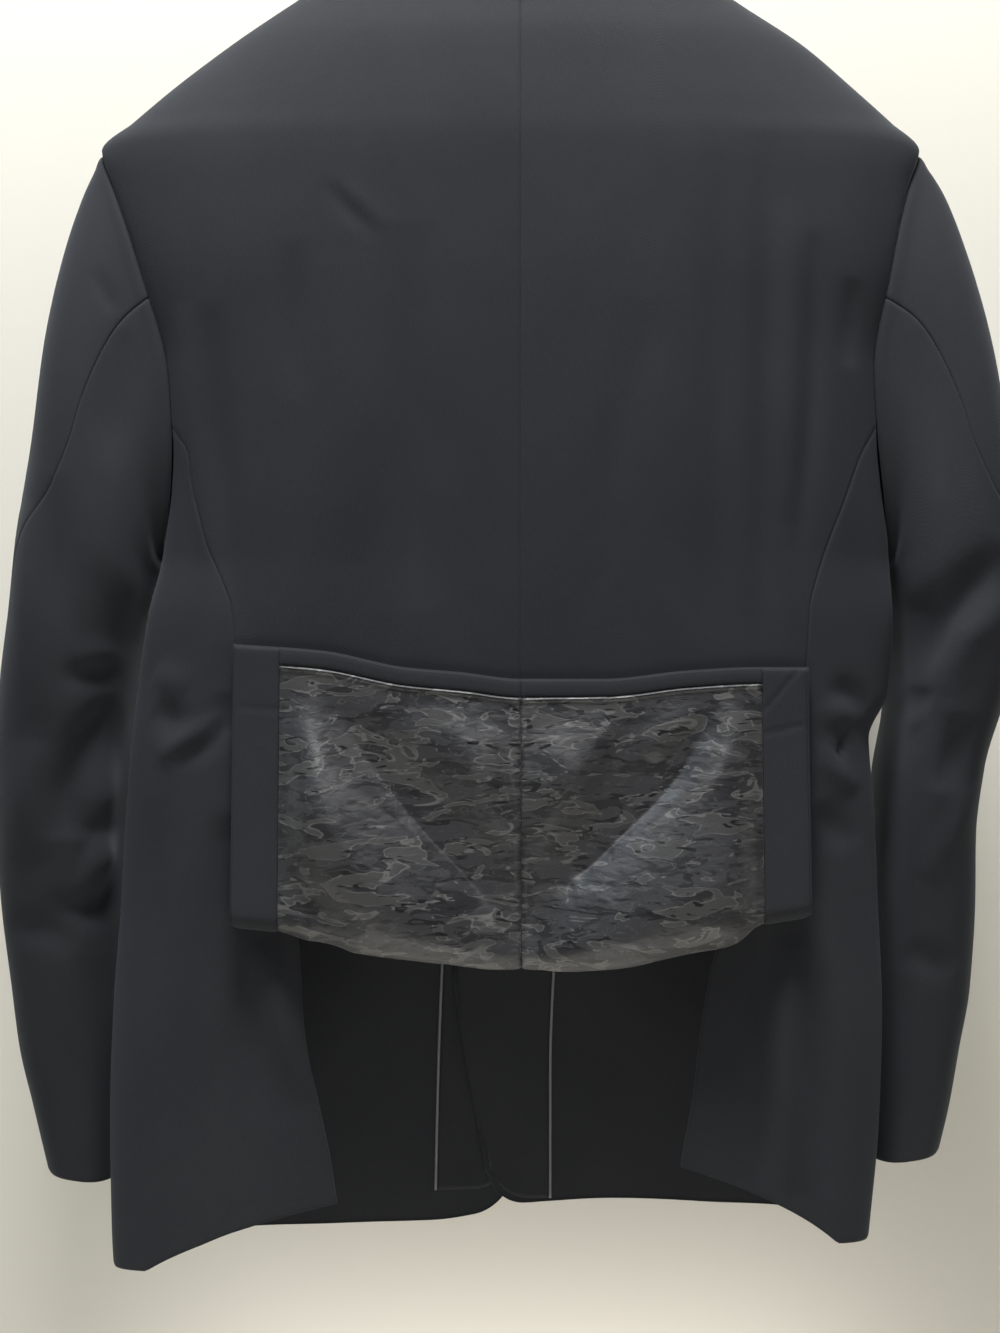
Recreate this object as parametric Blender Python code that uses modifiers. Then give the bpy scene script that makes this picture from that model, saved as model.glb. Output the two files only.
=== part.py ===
"""Single-breasted sport coat, hanging filled out, with the skirt of its back turned up between two side vents.

Millimetres are used for every size below and turned into metres once, when a mesh is made. X is the wearer's right,
Y points from the back to the front, Z is up, and the origin is the hanger loop inside the back neck. A "drop" is a
distance below the origin. "Own side" distances are measured outwards from the centre on the left or right half.
"""
import bpy
import numpy as np

# Sizes of the cloth and of the seams
MM = 0.001
CLOTH = 1.6
FACING_CLOTH = 1.2
LINING_CLOTH = 1.0
LAPEL_CLOTH = 2.4
PLY_GAP = 0.4
HALF_SEAM = 0.15
HALF_ARMHOLE_SEAM = 0.4
HALF_CURVED_SEAM = 0.45
MOST_TURN = 0.8
SIDES = {"left": -1.0, "right": 1.0}
BACK = -1.0
FRONT = 1.0

# Horizontal sections of the torso from the neck to the hem. Left and right are half widths; square is the exponent of
# the superellipse, and lean moves its widest point towards the back.
TORSO_COLUMNS = ("drop", "left", "right", "back", "front", "square", "lean")
TORSO = (
    (-22, 92, 92, 2, 62, 2.2, 1.0),
    (12, 146, 141, -6, 70, 2.3, 1.0),
    (41, 187, 183, -16, 77, 2.3, 1.0),
    (66, 219, 211, -21, 81, 2.4, 1.0),
    (90, 246, 236, -25, 84, 2.6, 1.0),
    (107, 264, 252, -27, 86, 2.9, 1.0),
    (131, 258, 246, -28, 88, 3.4, 1.0),
    (197, 239, 234, -30, 90, 4.0, 1.0),
    (245, 226, 226, -30, 91, 4.0, 1.0),
    (323, 220, 228, -29, 91, 4.0, 1.0),
    (360, 224, 231, -28, 91, 3.8, 1.0),
    (400, 233, 233, -27, 90, 3.5, 1.15),
    (447, 239, 229, -26, 90, 3.2, 1.3),
    (475, 242, 217, -26, 90, 3.1, 1.4),
    (518, 245, 220, -26, 92, 3.0, 1.5),
    (578, 248, 222, -26, 95, 3.0, 1.6),
    (640, 252, 224, -27, 98, 3.0, 1.7),
    (708, 254, 222, -28, 101, 2.9, 1.75),
    (775, 253, 216, -28, 103, 2.8, 1.8),
    (812, 251, 212, -28, 104, 2.8, 1.8),
)

# The armhole is a superellipse on the torso, in drop and in share of the depth
ARMHOLE_TOP = 107.0
ARMHOLE_BOTTOM = 360.0
ARMHOLE_SQUARE = 2.4
ARMHOLE_HALF_SHARE = 0.31
SIDE_SEAM_TOP = 283.0
SEAM_BLEND = 40.0

# Seam between the back and the side body: own-side distance by drop, down to the top of the vent
BACK_SEAM_COLUMNS = ("drop", "left", "right")
BACK_SEAM = (
    (283, 221, 220),
    (302, 205, 208),
    (332, 197, 196),
    (357, 191, 186),
    (378, 182, 179),
    (394, 176, 175),
    (427, 172, 173),
    (468, 172, 170),
    (570, 173, 173),
)
VENT_TOP = 565.0
NECK_HALF = 92.0
NECK_RISE = 22.0

# Free edge of the vent underlap, which lies inside the back: own-side distance by drop
UNDERLAP_COLUMNS = ("drop", "left", "right")
UNDERLAP = (
    (565, 173, 173),
    (578, 142, 130),
    (604, 134, 118),
    (645, 131, 110),
    (692, 123, 104),
    (725, 116, 98),
    (770, 109, 92),
)
UNDERLAP_SET_IN = 3.6
SET_IN_FROM = 50.0
SET_IN_TO = 26.0
SET_IN_WIDTH = (175.0, 196.0)
SET_IN_SHARE = 0.45

# Front seam of the side body: own-side distance on the front by drop
FRONT_SEAM_COLUMNS = ("drop", "left", "right")
FRONT_SEAM = (
    (283, 219, 222),
    (330, 205, 208),
    (400, 192, 190),
    (475, 190, 178),
    (600, 198, 184),
    (812, 204, 182),
)

# Drop of the hem at the underlap, the outer corner, the front seam, the middle of the front and the front edge
HEM = {
    "left": {"underlap": 755, "corner": 797, "seam": 804, "front": 807, "edge": 792},
    "right": {"underlap": 733, "corner": 780, "seam": 786, "front": 791, "edge": 796},
}
CORNER_SHARE = 0.3
ACROSS_BLEND = 0.25
HEM_FRONT = (-40.0, 60.0)
HEM_SIDE = (120.0, 205.0)

# Fronts: the centre line, the lap past it, the roll line of the lapels and the round corner at the hem
CENTRE_FRONT = -12.5
LAP_AT_BUTTON = 20.0
LAP_AT_HIP = 32.0
LAP_AT_HEM = 8.0
ROLL_END = 425.0
HIP_DROP = 625.0
HEM_CORNER = 26.0
LAP_OFFSET = {"left": 3.4, "right": -3.4}
LAP_WIDTH = (20.0, 85.0)
LAP_DROP = (215.0, 310.0)
NECK_SET_IN = 8.0
HEM_LEVEL = 800.0
FRONT_SPREAD = 1.15

# Turned-up skirt of the back: lowest point of its bend and its hem edge, by X
SKIRT_COLUMNS = ("x", "bend", "hem")
SKIRT = (
    (-173, 584, 417),
    (-120, 589, 421),
    (-70, 595, 431),
    (-36, 602, 434),
    (0, 607, 438),
    (50, 600, 438),
    (100, 589, 433),
    (141, 583, 431),
    (173, 578, 431),
)
BEND_RADIUS = 6.5
SKIRT_TOP_GAP = 3.0
SKIRT_TAPER = 1.2
HEM_STRIP = 11.5
VENT_STRIP = 27.0
STRIP_SET_BACK = 1.0
LINING_TURN_IN = 34.0

# Sleeves: outermost and innermost point of each ring, its centre in Y and its half depth
SLEEVE_COLUMNS = ("out_x", "out_drop", "in_x", "in_drop", "centre", "half_depth")
SLEEVES = {
    "left": (
        (264, 107, 228, 360, 31, 36),
        (276, 134, 230, 364, 32, 42),
        (288, 173, 229, 369, 33, 49),
        (298, 222, 231, 376, 35, 57),
        (306, 288, 234, 387, 37, 63),
        (314, 338, 240, 403, 40, 67),
        (320, 389, 246, 425, 42, 69),
        (327, 440, 249, 458, 45, 69),
        (331, 492, 251, 500, 48, 67),
        (332, 535, 254, 543, 52, 65),
        (330, 580, 255, 588, 55, 62),
        (325, 632, 256, 638, 59, 59),
        (321, 671, 256, 677, 62, 57),
        (313, 709, 256, 715, 65, 55),
        (304, 750, 256, 757, 68, 53),
    ),
    "right": (
        (252, 107, 233, 360, 31, 36),
        (267, 131, 236, 364, 32, 42),
        (281, 169, 235, 369, 33, 49),
        (295, 222, 236, 376, 35, 57),
        (306, 288, 238, 387, 37, 63),
        (313, 338, 240, 403, 40, 67),
        (315, 389, 241, 425, 42, 69),
        (307, 440, 240, 458, 46, 68),
        (293, 492, 234, 500, 50, 66),
        (289, 535, 231, 543, 54, 64),
        (290, 580, 230, 588, 57, 61),
        (288, 632, 229, 638, 60, 58),
        (282, 671, 227, 677, 62, 56),
        (276, 709, 225, 715, 64, 54),
        (270, 737, 222, 744, 66, 53),
    ),
}
SLEEVE_SQUARE = 2.7
ARMHOLE_BLEND_RINGS = 4.0

# Sleeve seams as turns round a ring, in degrees: 0 is the outer edge, 90 the back, 180 the inner edge
SLEEVE_SEAM_COLUMNS = ("ring", "hind", "fore")
SLEEVE_SEAMS = (
    (0, 80, -101),
    (1, 84, -108),
    (3, 84, -120),
    (4, 74, -126),
    (5, 54, -132),
    (6, 34, -136),
    (7, 22, -140),
    (9, 12, -143),
    (14, 6, -148),
)
CUFF_VENT_RING = 12.0
CUFF_VENT_OPEN = 5.0
UNDER_SHARE = 0.3
SEAM_BLEND_RINGS = 5.0

# Lapel: gorge ends on the roll line and at the notch, and the swell of its outer edge
GORGE_DROP = 45.0
NOTCH_DROP = 96.0
LAPEL_WIDTH = 86.0
LAPEL_SWELL = 7.0
LAPEL_END = 12.0
LAPEL_FOOT = 7.0
LAPEL_TAPER = 0.9
LAPEL_ROLL = 2.0
LAPEL_LEAN = 1.0

# Collar: crease and leaf edge in (x, y, z) by place, from the centre back (0) by the side neck to the gorge (1)
COLLAR_COLUMNS = ("place", "crease", "edge")
COLLAR = (
    (0.0, (0, -2, 32), (0, -13, -10)),
    (0.25, (43, 2, 36), (58, -11, -3)),
    (0.38, (66, 12, 42), (92, 1, 8)),
    (0.5, (80, 28, 46), (116, 31, 20)),
    (0.75, (76, 58, 28), (130, 63, -12)),
    (1.0, (63, 82, -30), (142, 80, -70)),
)
COLLAR_PLY_GAP = 0.8
COLLAR_SEAM_LIFT = 0.8
COLLAR_CLOTH = 2.2
COLLAR_END_RISE = 4.0
COLLAR_TURN = (0.5, 0.62)

# Turn-over of the collar leaf: share of the way from crease to edge, then plies up and plies outward
LEAF_COLUMNS = ("share", "up", "outward")
LEAF = (
    (0.0, 1.0, -0.6),
    (0.0, 0.9, 0.4),
    (0.0, 0.0, 1.0),
    (0.3, 0.0, 1.3),
    (0.65, 0.0, 0.8),
    (1.0, 0.0, 0.0),
)

# Largest folds of the cloth: width, height towards the viewer of that face, and the line as (X, drop) points
FOLD_COLUMNS = ("name", "face", "width", "height", "line")
FOLDS = (
    ("left waist valley", BACK, 9, -5, ((-228, 455), (-203, 466))),
    ("left waist ridge", BACK, 9, 6, ((-191, 461), (-195, 471), (-225, 487))),
    ("left waist lower valley", BACK, 9, -5, ((-180, 447), (-184, 468), (-214, 492))),
    ("left side roll", BACK, 13, 5, ((-159, 600), (-130, 697))),
    ("right waist valley", BACK, 9, -5, ((191, 440), (214, 457))),
    ("right waist ridge", BACK, 9, 5, ((191, 478), (193, 491), (205, 509))),
    ("right waist lower valley", BACK, 9, -4, ((183, 514), (202, 543))),
    ("right side valley", BACK, 9, -6, ((152, 593), (152, 753))),
    ("right side roll", BACK, 9, 5, ((165, 593), (166, 758))),
    ("left elbow valley", BACK, 14, -8, ((-235, 446), (-263, 477), (-278, 536))),
    ("left forearm puff", BACK, 20, 5, ((-270, 540), (-250, 562))),
    ("left forearm crease", BACK, 9, -4, ((-243, 570), (-265, 582), (-292, 578))),
    ("left sleeve ridge", BACK, 10, 3, ((-303, 331), (-296, 437), (-290, 463))),
    ("right elbow valley", BACK, 14, -8, ((295, 362), (255, 402), (243, 440))),
    ("right forearm valley", BACK, 13, -5, ((268, 460), (257, 507))),
    ("right forearm crease", BACK, 10, -4, ((240, 605), (269, 618))),
    ("left back band", BACK, 12, -3, ((-189, 211), (-189, 400))),
    ("left middle band", BACK, 15, -2, ((-68, 169), (-68, 391))),
    ("right middle band", BACK, 13, -2, ((118, 140), (118, 400))),
    ("right back band", BACK, 12, -3, ((166, 211), (166, 400))),
    ("left blade crease", BACK, 8, -2, ((-118, 138), (-106, 153), (-85, 174))),
    ("left front drag", FRONT, 14, -3, ((-150, 250), (-95, 420))),
    ("right front drag", FRONT, 14, -3, ((150, 240), (90, 420))),
    ("left sleeve front crease", FRONT, 14, -5, ((-310, 420), (-258, 452))),
    ("right sleeve front crease", FRONT, 14, -5, ((300, 415), (250, 450))),
)
FACE_TURN = 32.0
FACE_FADE = 20.0

# Folds of the skirt lining, which only stand out from the skirt
LINING_FOLDS = (
    ("left ridge", BACK, 17, 8, ((-141, 507), (-115, 541), (-76, 577), (-40, 599))),
    ("left upper swell", BACK, 22, 5, ((-60, 455), (-36, 500), (-18, 540))),
    ("left corner swell", BACK, 14, 4, ((-135, 448), (-128, 470))),
    ("right ridge", BACK, 20, 8, ((138, 500), (100, 545), (62, 575))),
    ("right upper swell", BACK, 14, 5, ((88, 450), (72, 490), (40, 528))),
    ("right middle swell", BACK, 12, 4, ((36, 455), (22, 505))),
)

LOWER_FADE = 0.1
UPPER_FADE = 0.12
SIDE_FADE = 0.86

# Small pieces
PIPING_RADIUS = 0.9
PIPING_X = {"left": ((600, -49), (700, -53), (786, -55)), "right": ((600, 24), (700, 20), (788, 20))}
PIPING_SET_IN = 0.2
FACING_TOP = 520.0
FACING_RISE = 6.0
FACING_SET_BACK = 3.0
CORNER_FADE = 6
BUTTON_RADIUS = 10.0
BUTTON_THICKNESS = 3.2
BUTTON_RIM = 0.8
BUTTON_SIDES = 20
BUTTON_DROPS = {"button_top": 428.0, "button_lower": 530.0}
POCKET_TOP = 545.0
POCKET_DEPTH = 54.0
POCKET_FROM = 62.0
POCKET_TO = 166.0
POCKET_SLOPE = 4.0
WELT_FROM = 116.0
WELT_TO = 184.0
WELT_DROP = 205.0
WELT_DEPTH = 24.0
WELT_RISE = 12.0
LOOP_HALF = 28.0
LOOP_DROP = 16.0
LOOP_RISE = 8.0
LOOP_ARCH = 11.0
LOOP_WIDTH = 6.0

# Grid steps
SEAM_DROPS = (
    107, 108.5, 113, 125, 147, 175, 210, 246, 283, 297, 312,
    341, 369, 394, 420, 444, 460, 476, 494, 520, 545, 565,
)
BACK_ACROSS = 10
SIDE_ACROSS = 8
FRONT_ACROSS = 8
UNDERLAP_STEPS = 7
BEND_STEPS = 5
SKIRT_STEPS = 8
SLEEVE_STEPS = 18
LAST_ROW = 0.985
HIGHEST_WAY = 0.995
WAY_GAP = 0.002

WOOL = ("charcoal_wool", (0.026, 0.027, 0.030, 1.0), 0.85, 0.0)
JACQUARD = ("grey_jacquard", (0.075, 0.075, 0.073, 1.0), 0.45, 0.0)
PIPING = ("light_piping", (0.42, 0.42, 0.41, 1.0), 0.6, 0.0)
HORN = ("dark_horn", (0.020, 0.019, 0.018, 1.0), 0.35, 0.0)


def smooth(at, knots, values):
    """Cubic through the knots that never overshoots: each inner slope is the harmonic mean of its two neighbours."""
    knots = np.asarray(knots, float)
    values = np.asarray(values, float)
    steps = np.diff(knots)
    slopes = np.diff(values) / steps
    tangents = np.zeros_like(values)
    tangents[0] = slopes[0]
    tangents[-1] = slopes[-1]
    product = slopes[:-1] * slopes[1:]
    total = slopes[:-1] + slopes[1:]
    same_way = product > 0
    tangents[1:-1][same_way] = 2 * product[same_way] / total[same_way]
    at = np.clip(np.asarray(at, float), knots[0], knots[-1])
    i = np.clip(np.searchsorted(knots, at) - 1, 0, len(knots) - 2)
    t = (at - knots[i]) / steps[i]
    start = (1 + 2 * t) * (1 - t) ** 2 * values[i] + t * (1 - t) ** 2 * steps[i] * tangents[i]
    end = t * t * (3 - 2 * t) * values[i + 1] + t * t * (t - 1) * steps[i] * tangents[i + 1]
    return start + end


def read(table, columns, name, at):
    """Value of a named column of a table at a place along its first column."""
    index = columns.index(name)
    return smooth(at, [row[0] for row in table], [row[index] for row in table])


def ease(value, low, high):
    """Smooth step from 0 at low to 1 at high."""
    t = np.clip((np.asarray(value, float) - low) / (high - low), 0.0, 1.0)
    return t * t * (3 - 2 * t)


def power(value, exponent):
    """Power that keeps the sign."""
    return np.sign(value) * np.abs(value) ** exponent


def torso(drop, name):
    """Value of one torso column at a drop."""
    return read(TORSO, TORSO_COLUMNS, name, drop)


def width_at_share(drop, share, side):
    """Own-side distance of the torso's surface at a share of its depth, 0 at the back and 1 at the front."""
    square = torso(drop, "square")
    across = np.abs(2 * share ** (1 / torso(drop, "lean")) - 1)
    return torso(drop, side) * np.clip(1 - across ** square, 0, 1) ** (1 / square)


def share_at_width(width, drop, side, face):
    """Share of the depth at which the back or the front has an own-side distance."""
    square = torso(drop, "square")
    ratio = np.clip(np.abs(width) / torso(drop, side), 0, 1)
    across = (1 - ratio ** square) ** (1 / square)
    return ((1 + face * across) / 2) ** torso(drop, "lean")


def y_at_share(drop, share):
    """Y of the torso's surface at a share of its depth."""
    return torso(drop, "back") + share * (torso(drop, "front") - torso(drop, "back"))


def y_on(width, drop, side, face):
    """Y of the back or the front at an own-side distance."""
    return y_at_share(drop, share_at_width(width, drop, side, face))


def points(side, width, drop, y):
    """World points in millimetres from own-side distances, drops and Y."""
    width, drop, y = np.broadcast_arrays(width, drop, y)
    return np.stack([SIDES[side] * width, y, -drop], axis=-1).astype(float)


def fold_height(x, drop, fold):
    """Height of one fold: a bell across the distance to its line, which also rounds off its ends."""
    width, height, line = (fold[FOLD_COLUMNS.index(name)] for name in ("width", "height", "line"))
    nearest = np.full(np.shape(x), np.inf)
    for (x0, d0), (x1, d1) in zip(line[:-1], line[1:]):
        run = np.array([x1 - x0, d1 - d0], float)
        t = np.clip(((x - x0) * run[0] + (drop - d0) * run[1]) / (run @ run), 0, 1)
        nearest = np.minimum(nearest, np.hypot(x - x0 - t * run[0], drop - d0 - t * run[1]))
    return height * np.exp(-((nearest / width) ** 2))


def folded(grid, folds=FOLDS):
    """Grid moved along Y by its folds: each fold lifts only the face, back or front, that it belongs to."""
    grid = grid.copy()
    x, y, drop = grid[..., 0], grid[..., 1], -grid[..., 2]
    shift = np.zeros(x.shape)
    for fold in folds:
        face = fold[FOLD_COLUMNS.index("face")]
        shift += face * ease(face * (y - FACE_TURN), 0, FACE_FADE) * fold_height(x, drop, fold)
    grid[..., 1] += shift
    return grid


def normals(grid):
    """Unit normals of a grid from its two directions."""
    cross = np.cross(np.gradient(grid, axis=0), np.gradient(grid, axis=1))
    length = np.linalg.norm(cross, axis=-1, keepdims=True)
    return cross / np.maximum(length, 1e-9)


def unit(way):
    """Directions at length one."""
    return way / np.maximum(np.linalg.norm(way, axis=-1, keepdims=True), 1e-9)


def trimmed(grid, first=0.0, last=0.0, top=0.0, bottom=0.0):
    """Grid whose four edges are drawn back along the cloth, to leave the seams open.

    Where the cloth turns at the seam, the inner corners of its two walls would meet: the edge is drawn back by the
    wall times the tangent of half the turn as well.
    """
    grid = grid.copy()
    for axis, index, step, amount in ((0, 0, 1, first), (0, -1, -1, last), (1, 0, 1, top), (1, -1, -1, bottom)):
        if amount == 0:
            continue
        rows = np.moveaxis(grid, axis, 0)
        way = unit(rows[index + step] - rows[index])
        onward = unit(rows[index + 2 * step] - rows[index + step])
        turn = np.arccos(np.clip(np.sum(way * onward, axis=-1, keepdims=True), -1, 1))
        rows[index] += (amount + CLOTH * np.tan(np.minimum(turn, MOST_TURN) / 2)) * way
    return grid


def neck_or_shoulder_drop(width, side):
    """Drop of the upper edge of the back and the front: the neck curve, then the shoulder line."""
    drops = np.linspace(-NECK_RISE, ARMHOLE_TOP, 200)
    shoulder = np.interp(width, torso(drops, side), drops)
    neck = -NECK_RISE * (width / NECK_HALF) ** 2
    return np.where(width < NECK_HALF, neck, shoulder)


def armhole_share(drop, face):
    """Share of the depth of the armhole's edge at a drop."""
    middle = (ARMHOLE_TOP + ARMHOLE_BOTTOM) / 2
    half = (ARMHOLE_BOTTOM - ARMHOLE_TOP) / 2
    height = np.clip(np.abs((middle - drop) / half), 0, 1)
    return 0.5 + face * ARMHOLE_HALF_SHARE * (1 - height ** ARMHOLE_SQUARE) ** (1 / ARMHOLE_SQUARE)


def armhole_points(side, turn):
    """Edge of the armhole: turn 0 is the shoulder tip, 90 degrees the back and 180 the underarm."""
    exponent = 2 / ARMHOLE_SQUARE
    middle = (ARMHOLE_TOP + ARMHOLE_BOTTOM) / 2
    half = (ARMHOLE_BOTTOM - ARMHOLE_TOP) / 2
    drop = middle - half * power(np.cos(turn), exponent)
    share = 0.5 - ARMHOLE_HALF_SHARE * power(np.sin(turn), exponent)
    return points(side, width_at_share(drop, share, side), drop, y_at_share(drop, share))


def armhole_turn(drop):
    """Turn round the armhole, on its back, at which it has a drop."""
    middle = (ARMHOLE_TOP + ARMHOLE_BOTTOM) / 2
    half = (ARMHOLE_BOTTOM - ARMHOLE_TOP) / 2
    return np.arccos(np.clip(power((middle - np.asarray(drop, float)) / half, ARMHOLE_SQUARE / 2), -1, 1))


def seam_width(drop, side, face):
    """Own-side distance of the seam between the side body and the back or front; it starts on the armhole."""
    table, columns = (BACK_SEAM, BACK_SEAM_COLUMNS) if face == BACK else (FRONT_SEAM, FRONT_SEAM_COLUMNS)
    start = width_at_share(SIDE_SEAM_TOP, armhole_share(SIDE_SEAM_TOP, face), side)
    shift = start - read(table, columns, side, SIDE_SEAM_TOP)
    fade = 1 - ease(drop, SIDE_SEAM_TOP, SIDE_SEAM_TOP + SEAM_BLEND)
    return read(table, columns, side, drop) + shift * fade


def edge_width(drop, side, face):
    """Own-side distance of the outer edge of a back or front: the armhole, then the seam and the vent."""
    armhole = width_at_share(drop, armhole_share(drop, face), side)
    return np.where(drop < SIDE_SEAM_TOP, armhole, seam_width(drop, side, face))


def bend_edge(side, width):
    """Drop at which the back starts to bend outwards."""
    return read(SKIRT, SKIRT_COLUMNS, "bend", SIDES[side] * width) - BEND_RADIUS


def skirt_off(up):
    """Distance of the turned skirt from the back, by its share of the way up from the bend."""
    return SKIRT_TOP_GAP + (2 * BEND_RADIUS - SKIRT_TOP_GAP) * (1 - up) ** SKIRT_TAPER


def back_grid(side):
    """Back from the centre seam to its outer edge, down to the bend and up the turned skirt."""
    share = np.linspace(0, 1, BACK_ACROSS + 1)[:, None]
    edge_end = bend_edge(side, edge_width(VENT_TOP, side, BACK))
    part = (np.array(SEAM_DROPS, float) - ARMHOLE_TOP) / (edge_end - ARMHOLE_TOP)
    part = np.append(part[part < LAST_ROW], 1.0)[None, :]
    width = share * edge_width(ARMHOLE_TOP + part * (edge_end - ARMHOLE_TOP), side, BACK)
    top = neck_or_shoulder_drop(share * torso(ARMHOLE_TOP, side), side)
    end = bend_edge(side, width[:, -1:])
    drop = top + (end - top) * part
    body = points(side, width, drop, y_on(width, drop, side, BACK))
    column = width[:, -1:]
    start_y = body[:, -1:, 1]
    turn = np.linspace(0, np.pi, BEND_STEPS + 2)[None, 1:-1]
    bend = points(
        side,
        column,
        end + BEND_RADIUS * np.sin(turn),
        start_y - BEND_RADIUS * (1 - np.cos(turn)),
    )
    up = np.linspace(0, 1, SKIRT_STEPS + 1)[None, :]
    hem = read(SKIRT, SKIRT_COLUMNS, "hem", SIDES[side] * column)
    skirt_drop = end + (hem - end) * up
    skirt = points(side, column, skirt_drop, y_on(column, skirt_drop, side, BACK) - skirt_off(up))
    return np.concatenate([folded(body), bend, skirt], axis=1)


def side_drops(hem):
    """Drops of the side body's rows at one of its seams."""
    fixed = [drop for drop in SEAM_DROPS if drop >= SIDE_SEAM_TOP]
    lower = np.linspace(fixed[-1], hem, UNDERLAP_STEPS + 1)[1:]
    return np.append(fixed, lower)


def front_hem(side, width):
    """Drop of the front's hem at an own-side distance."""
    row = HEM[side]
    level = row["edge"] + (row["front"] - row["edge"]) * ease(width, *HEM_FRONT)
    return level + (row["seam"] - level) * ease(width, *HEM_SIDE)


def side_bounds(side):
    """Shares of the depth at the side body's two seams, the places between them and the drops of its points."""
    start = armhole_turn(SIDE_SEAM_TOP)
    turns = np.linspace(start, 2 * np.pi - start, SIDE_ACROSS + 1)
    top = armhole_points(side, turns)
    top_drop = -top[:, 2][:, None]
    exponent = 2 / ARMHOLE_SQUARE
    top_share = (0.5 - ARMHOLE_HALF_SHARE * power(np.sin(turns), exponent))[:, None]
    across = np.linspace(0, 1, SIDE_ACROSS + 1)[:, None]
    row = HEM[side]
    hem = np.interp(across, [0, CORNER_SHARE, 1], [row["underlap"], row["corner"], row["seam"]])
    reach = side_drops(row["seam"])
    part = ((reach - SIDE_SEAM_TOP) / (row["seam"] - SIDE_SEAM_TOP))[None, :]
    drop = top_drop + (hem - top_drop) * part
    first = np.where(
        drop <= VENT_TOP,
        seam_width(drop, side, BACK),
        read(UNDERLAP, UNDERLAP_COLUMNS, side, drop),
    )
    low = share_at_width(first, drop, side, BACK)
    high = share_at_width(seam_width(drop, side, FRONT), drop, side, FRONT)
    seam_low = share_at_width(seam_width(top_drop, side, BACK), top_drop, side, BACK)
    seam_high = share_at_width(seam_width(top_drop, side, FRONT), top_drop, side, FRONT)
    place = np.clip((top_share - seam_low) / (seam_high - seam_low), 0, 1)
    place = place + (across - place) * ease(part, 0, ACROSS_BLEND)
    return low, high, place, drop


def side_grid(side):
    """Side body from the back seam to the front seam; its underlap steps inside the back at the vent."""
    low, high, place, drop = side_bounds(side)
    angle_low = np.arccos(np.clip(1 - 2 * low ** (1 / torso(drop, "lean")), -1, 1))
    angle_high = np.arccos(np.clip(1 - 2 * high ** (1 / torso(drop, "lean")), -1, 1))
    angle = angle_low + (angle_high - angle_low) * place
    share = ((1 - np.cos(angle)) / 2) ** torso(drop, "lean")
    width = width_at_share(drop, share, side)
    y = y_at_share(drop, share)
    behind = ease(drop, VENT_TOP - SET_IN_FROM, VENT_TOP - SET_IN_TO)
    behind = behind * (1 - ease(width, *SET_IN_WIDTH)) * (share < SET_IN_SHARE)
    grid = folded(points(side, width, drop, y))
    grid[..., 1] += UNDERLAP_SET_IN * behind
    return grid


def front_inner_width(drop, side):
    """Own-side distance of the front's inner edge: the roll line, the lap and the cutaway."""
    centre = SIDES[side] * CENTRE_FRONT
    at_neck = NECK_HALF - NECK_SET_IN
    down = np.clip((drop + NECK_RISE) / (ROLL_END + NECK_RISE), 0, 1)
    roll = at_neck + (centre - LAP_AT_BUTTON - at_neck) * down
    low = np.maximum(drop, ROLL_END)
    lap = smooth(low, [ROLL_END, HIP_DROP, HEM_LEVEL], [LAP_AT_BUTTON, LAP_AT_HIP, LAP_AT_HEM])
    return np.where(drop < ROLL_END, roll, centre - lap)


def front_y(width, drop, side):
    """Y of a front, parted from the other front where the two lap."""
    lap = LAP_OFFSET[side] * (1 - ease(width, *LAP_WIDTH)) * ease(drop, *LAP_DROP)
    return y_on(width, drop, side, FRONT) + lap


def front_grid(side):
    """Front from its inner edge to the armhole and the side seam, down from the shoulder to the hem."""
    share = (np.linspace(0, 1, FRONT_ACROSS + 1) ** FRONT_SPREAD)[:, None]
    hem_edge = HEM[side]["seam"]
    rows = np.append([d for d in SEAM_DROPS if d < SIDE_SEAM_TOP], side_drops(hem_edge))
    part = ((rows - ARMHOLE_TOP) / (hem_edge - ARMHOLE_TOP))[None, :]
    neck = NECK_HALF + (torso(ARMHOLE_TOP, side) - NECK_HALF) * share
    top = neck_or_shoulder_drop(neck, side)
    outer = edge_width(rows, side, FRONT)[None, :]
    inner_drop = -NECK_RISE + (HEM[side]["edge"] + NECK_RISE) * part
    inner = np.where(part > 0, front_inner_width(inner_drop, side), NECK_HALF)
    width = inner + (outer - inner) * share
    end = front_hem(side, width[:, -1:])
    from_edge = np.clip((width[:, -1:] - width[0, -1]) / HEM_CORNER, 0, 1)
    end = end - HEM_CORNER * (1 - np.sqrt(1 - (1 - from_edge) ** 2))
    drop = top + (end - top) * part
    return folded(points(side, width, drop, front_y(width, drop, side)))


def sleeve_points(side, ring, turn):
    """Sleeve surface: rings that swing about the underarm from the armhole, then follow the arm to the cuff."""
    rows = SLEEVES[side]
    knots = np.arange(len(rows))
    value = {name: smooth(ring, knots, [row[i] for row in rows]) for i, name in enumerate(SLEEVE_COLUMNS)}
    first = dict(zip(SLEEVE_COLUMNS, rows[0]))
    lengthwise = power(np.cos(turn), 2 / SLEEVE_SQUARE)
    depthwise = power(np.sin(turn), 2 / SLEEVE_SQUARE)

    def oval(v):
        width = (v["out_x"] + v["in_x"]) / 2 + lengthwise * (v["out_x"] - v["in_x"]) / 2
        drop = (v["out_drop"] + v["in_drop"]) / 2 + lengthwise * (v["out_drop"] - v["in_drop"]) / 2
        return points(side, width, drop, v["centre"] - depthwise * v["half_depth"])

    fade = np.clip(1 - ring / ARMHOLE_BLEND_RINGS, 0, 1)[..., None] ** 2
    return oval(value) + (armhole_points(side, turn) - oval(first)) * fade


def seam_turn(ring, name):
    """Turn of a sleeve seam at a ring, in radians."""
    return np.radians(read(SLEEVE_SEAMS, SLEEVE_SEAM_COLUMNS, name, ring))


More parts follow.
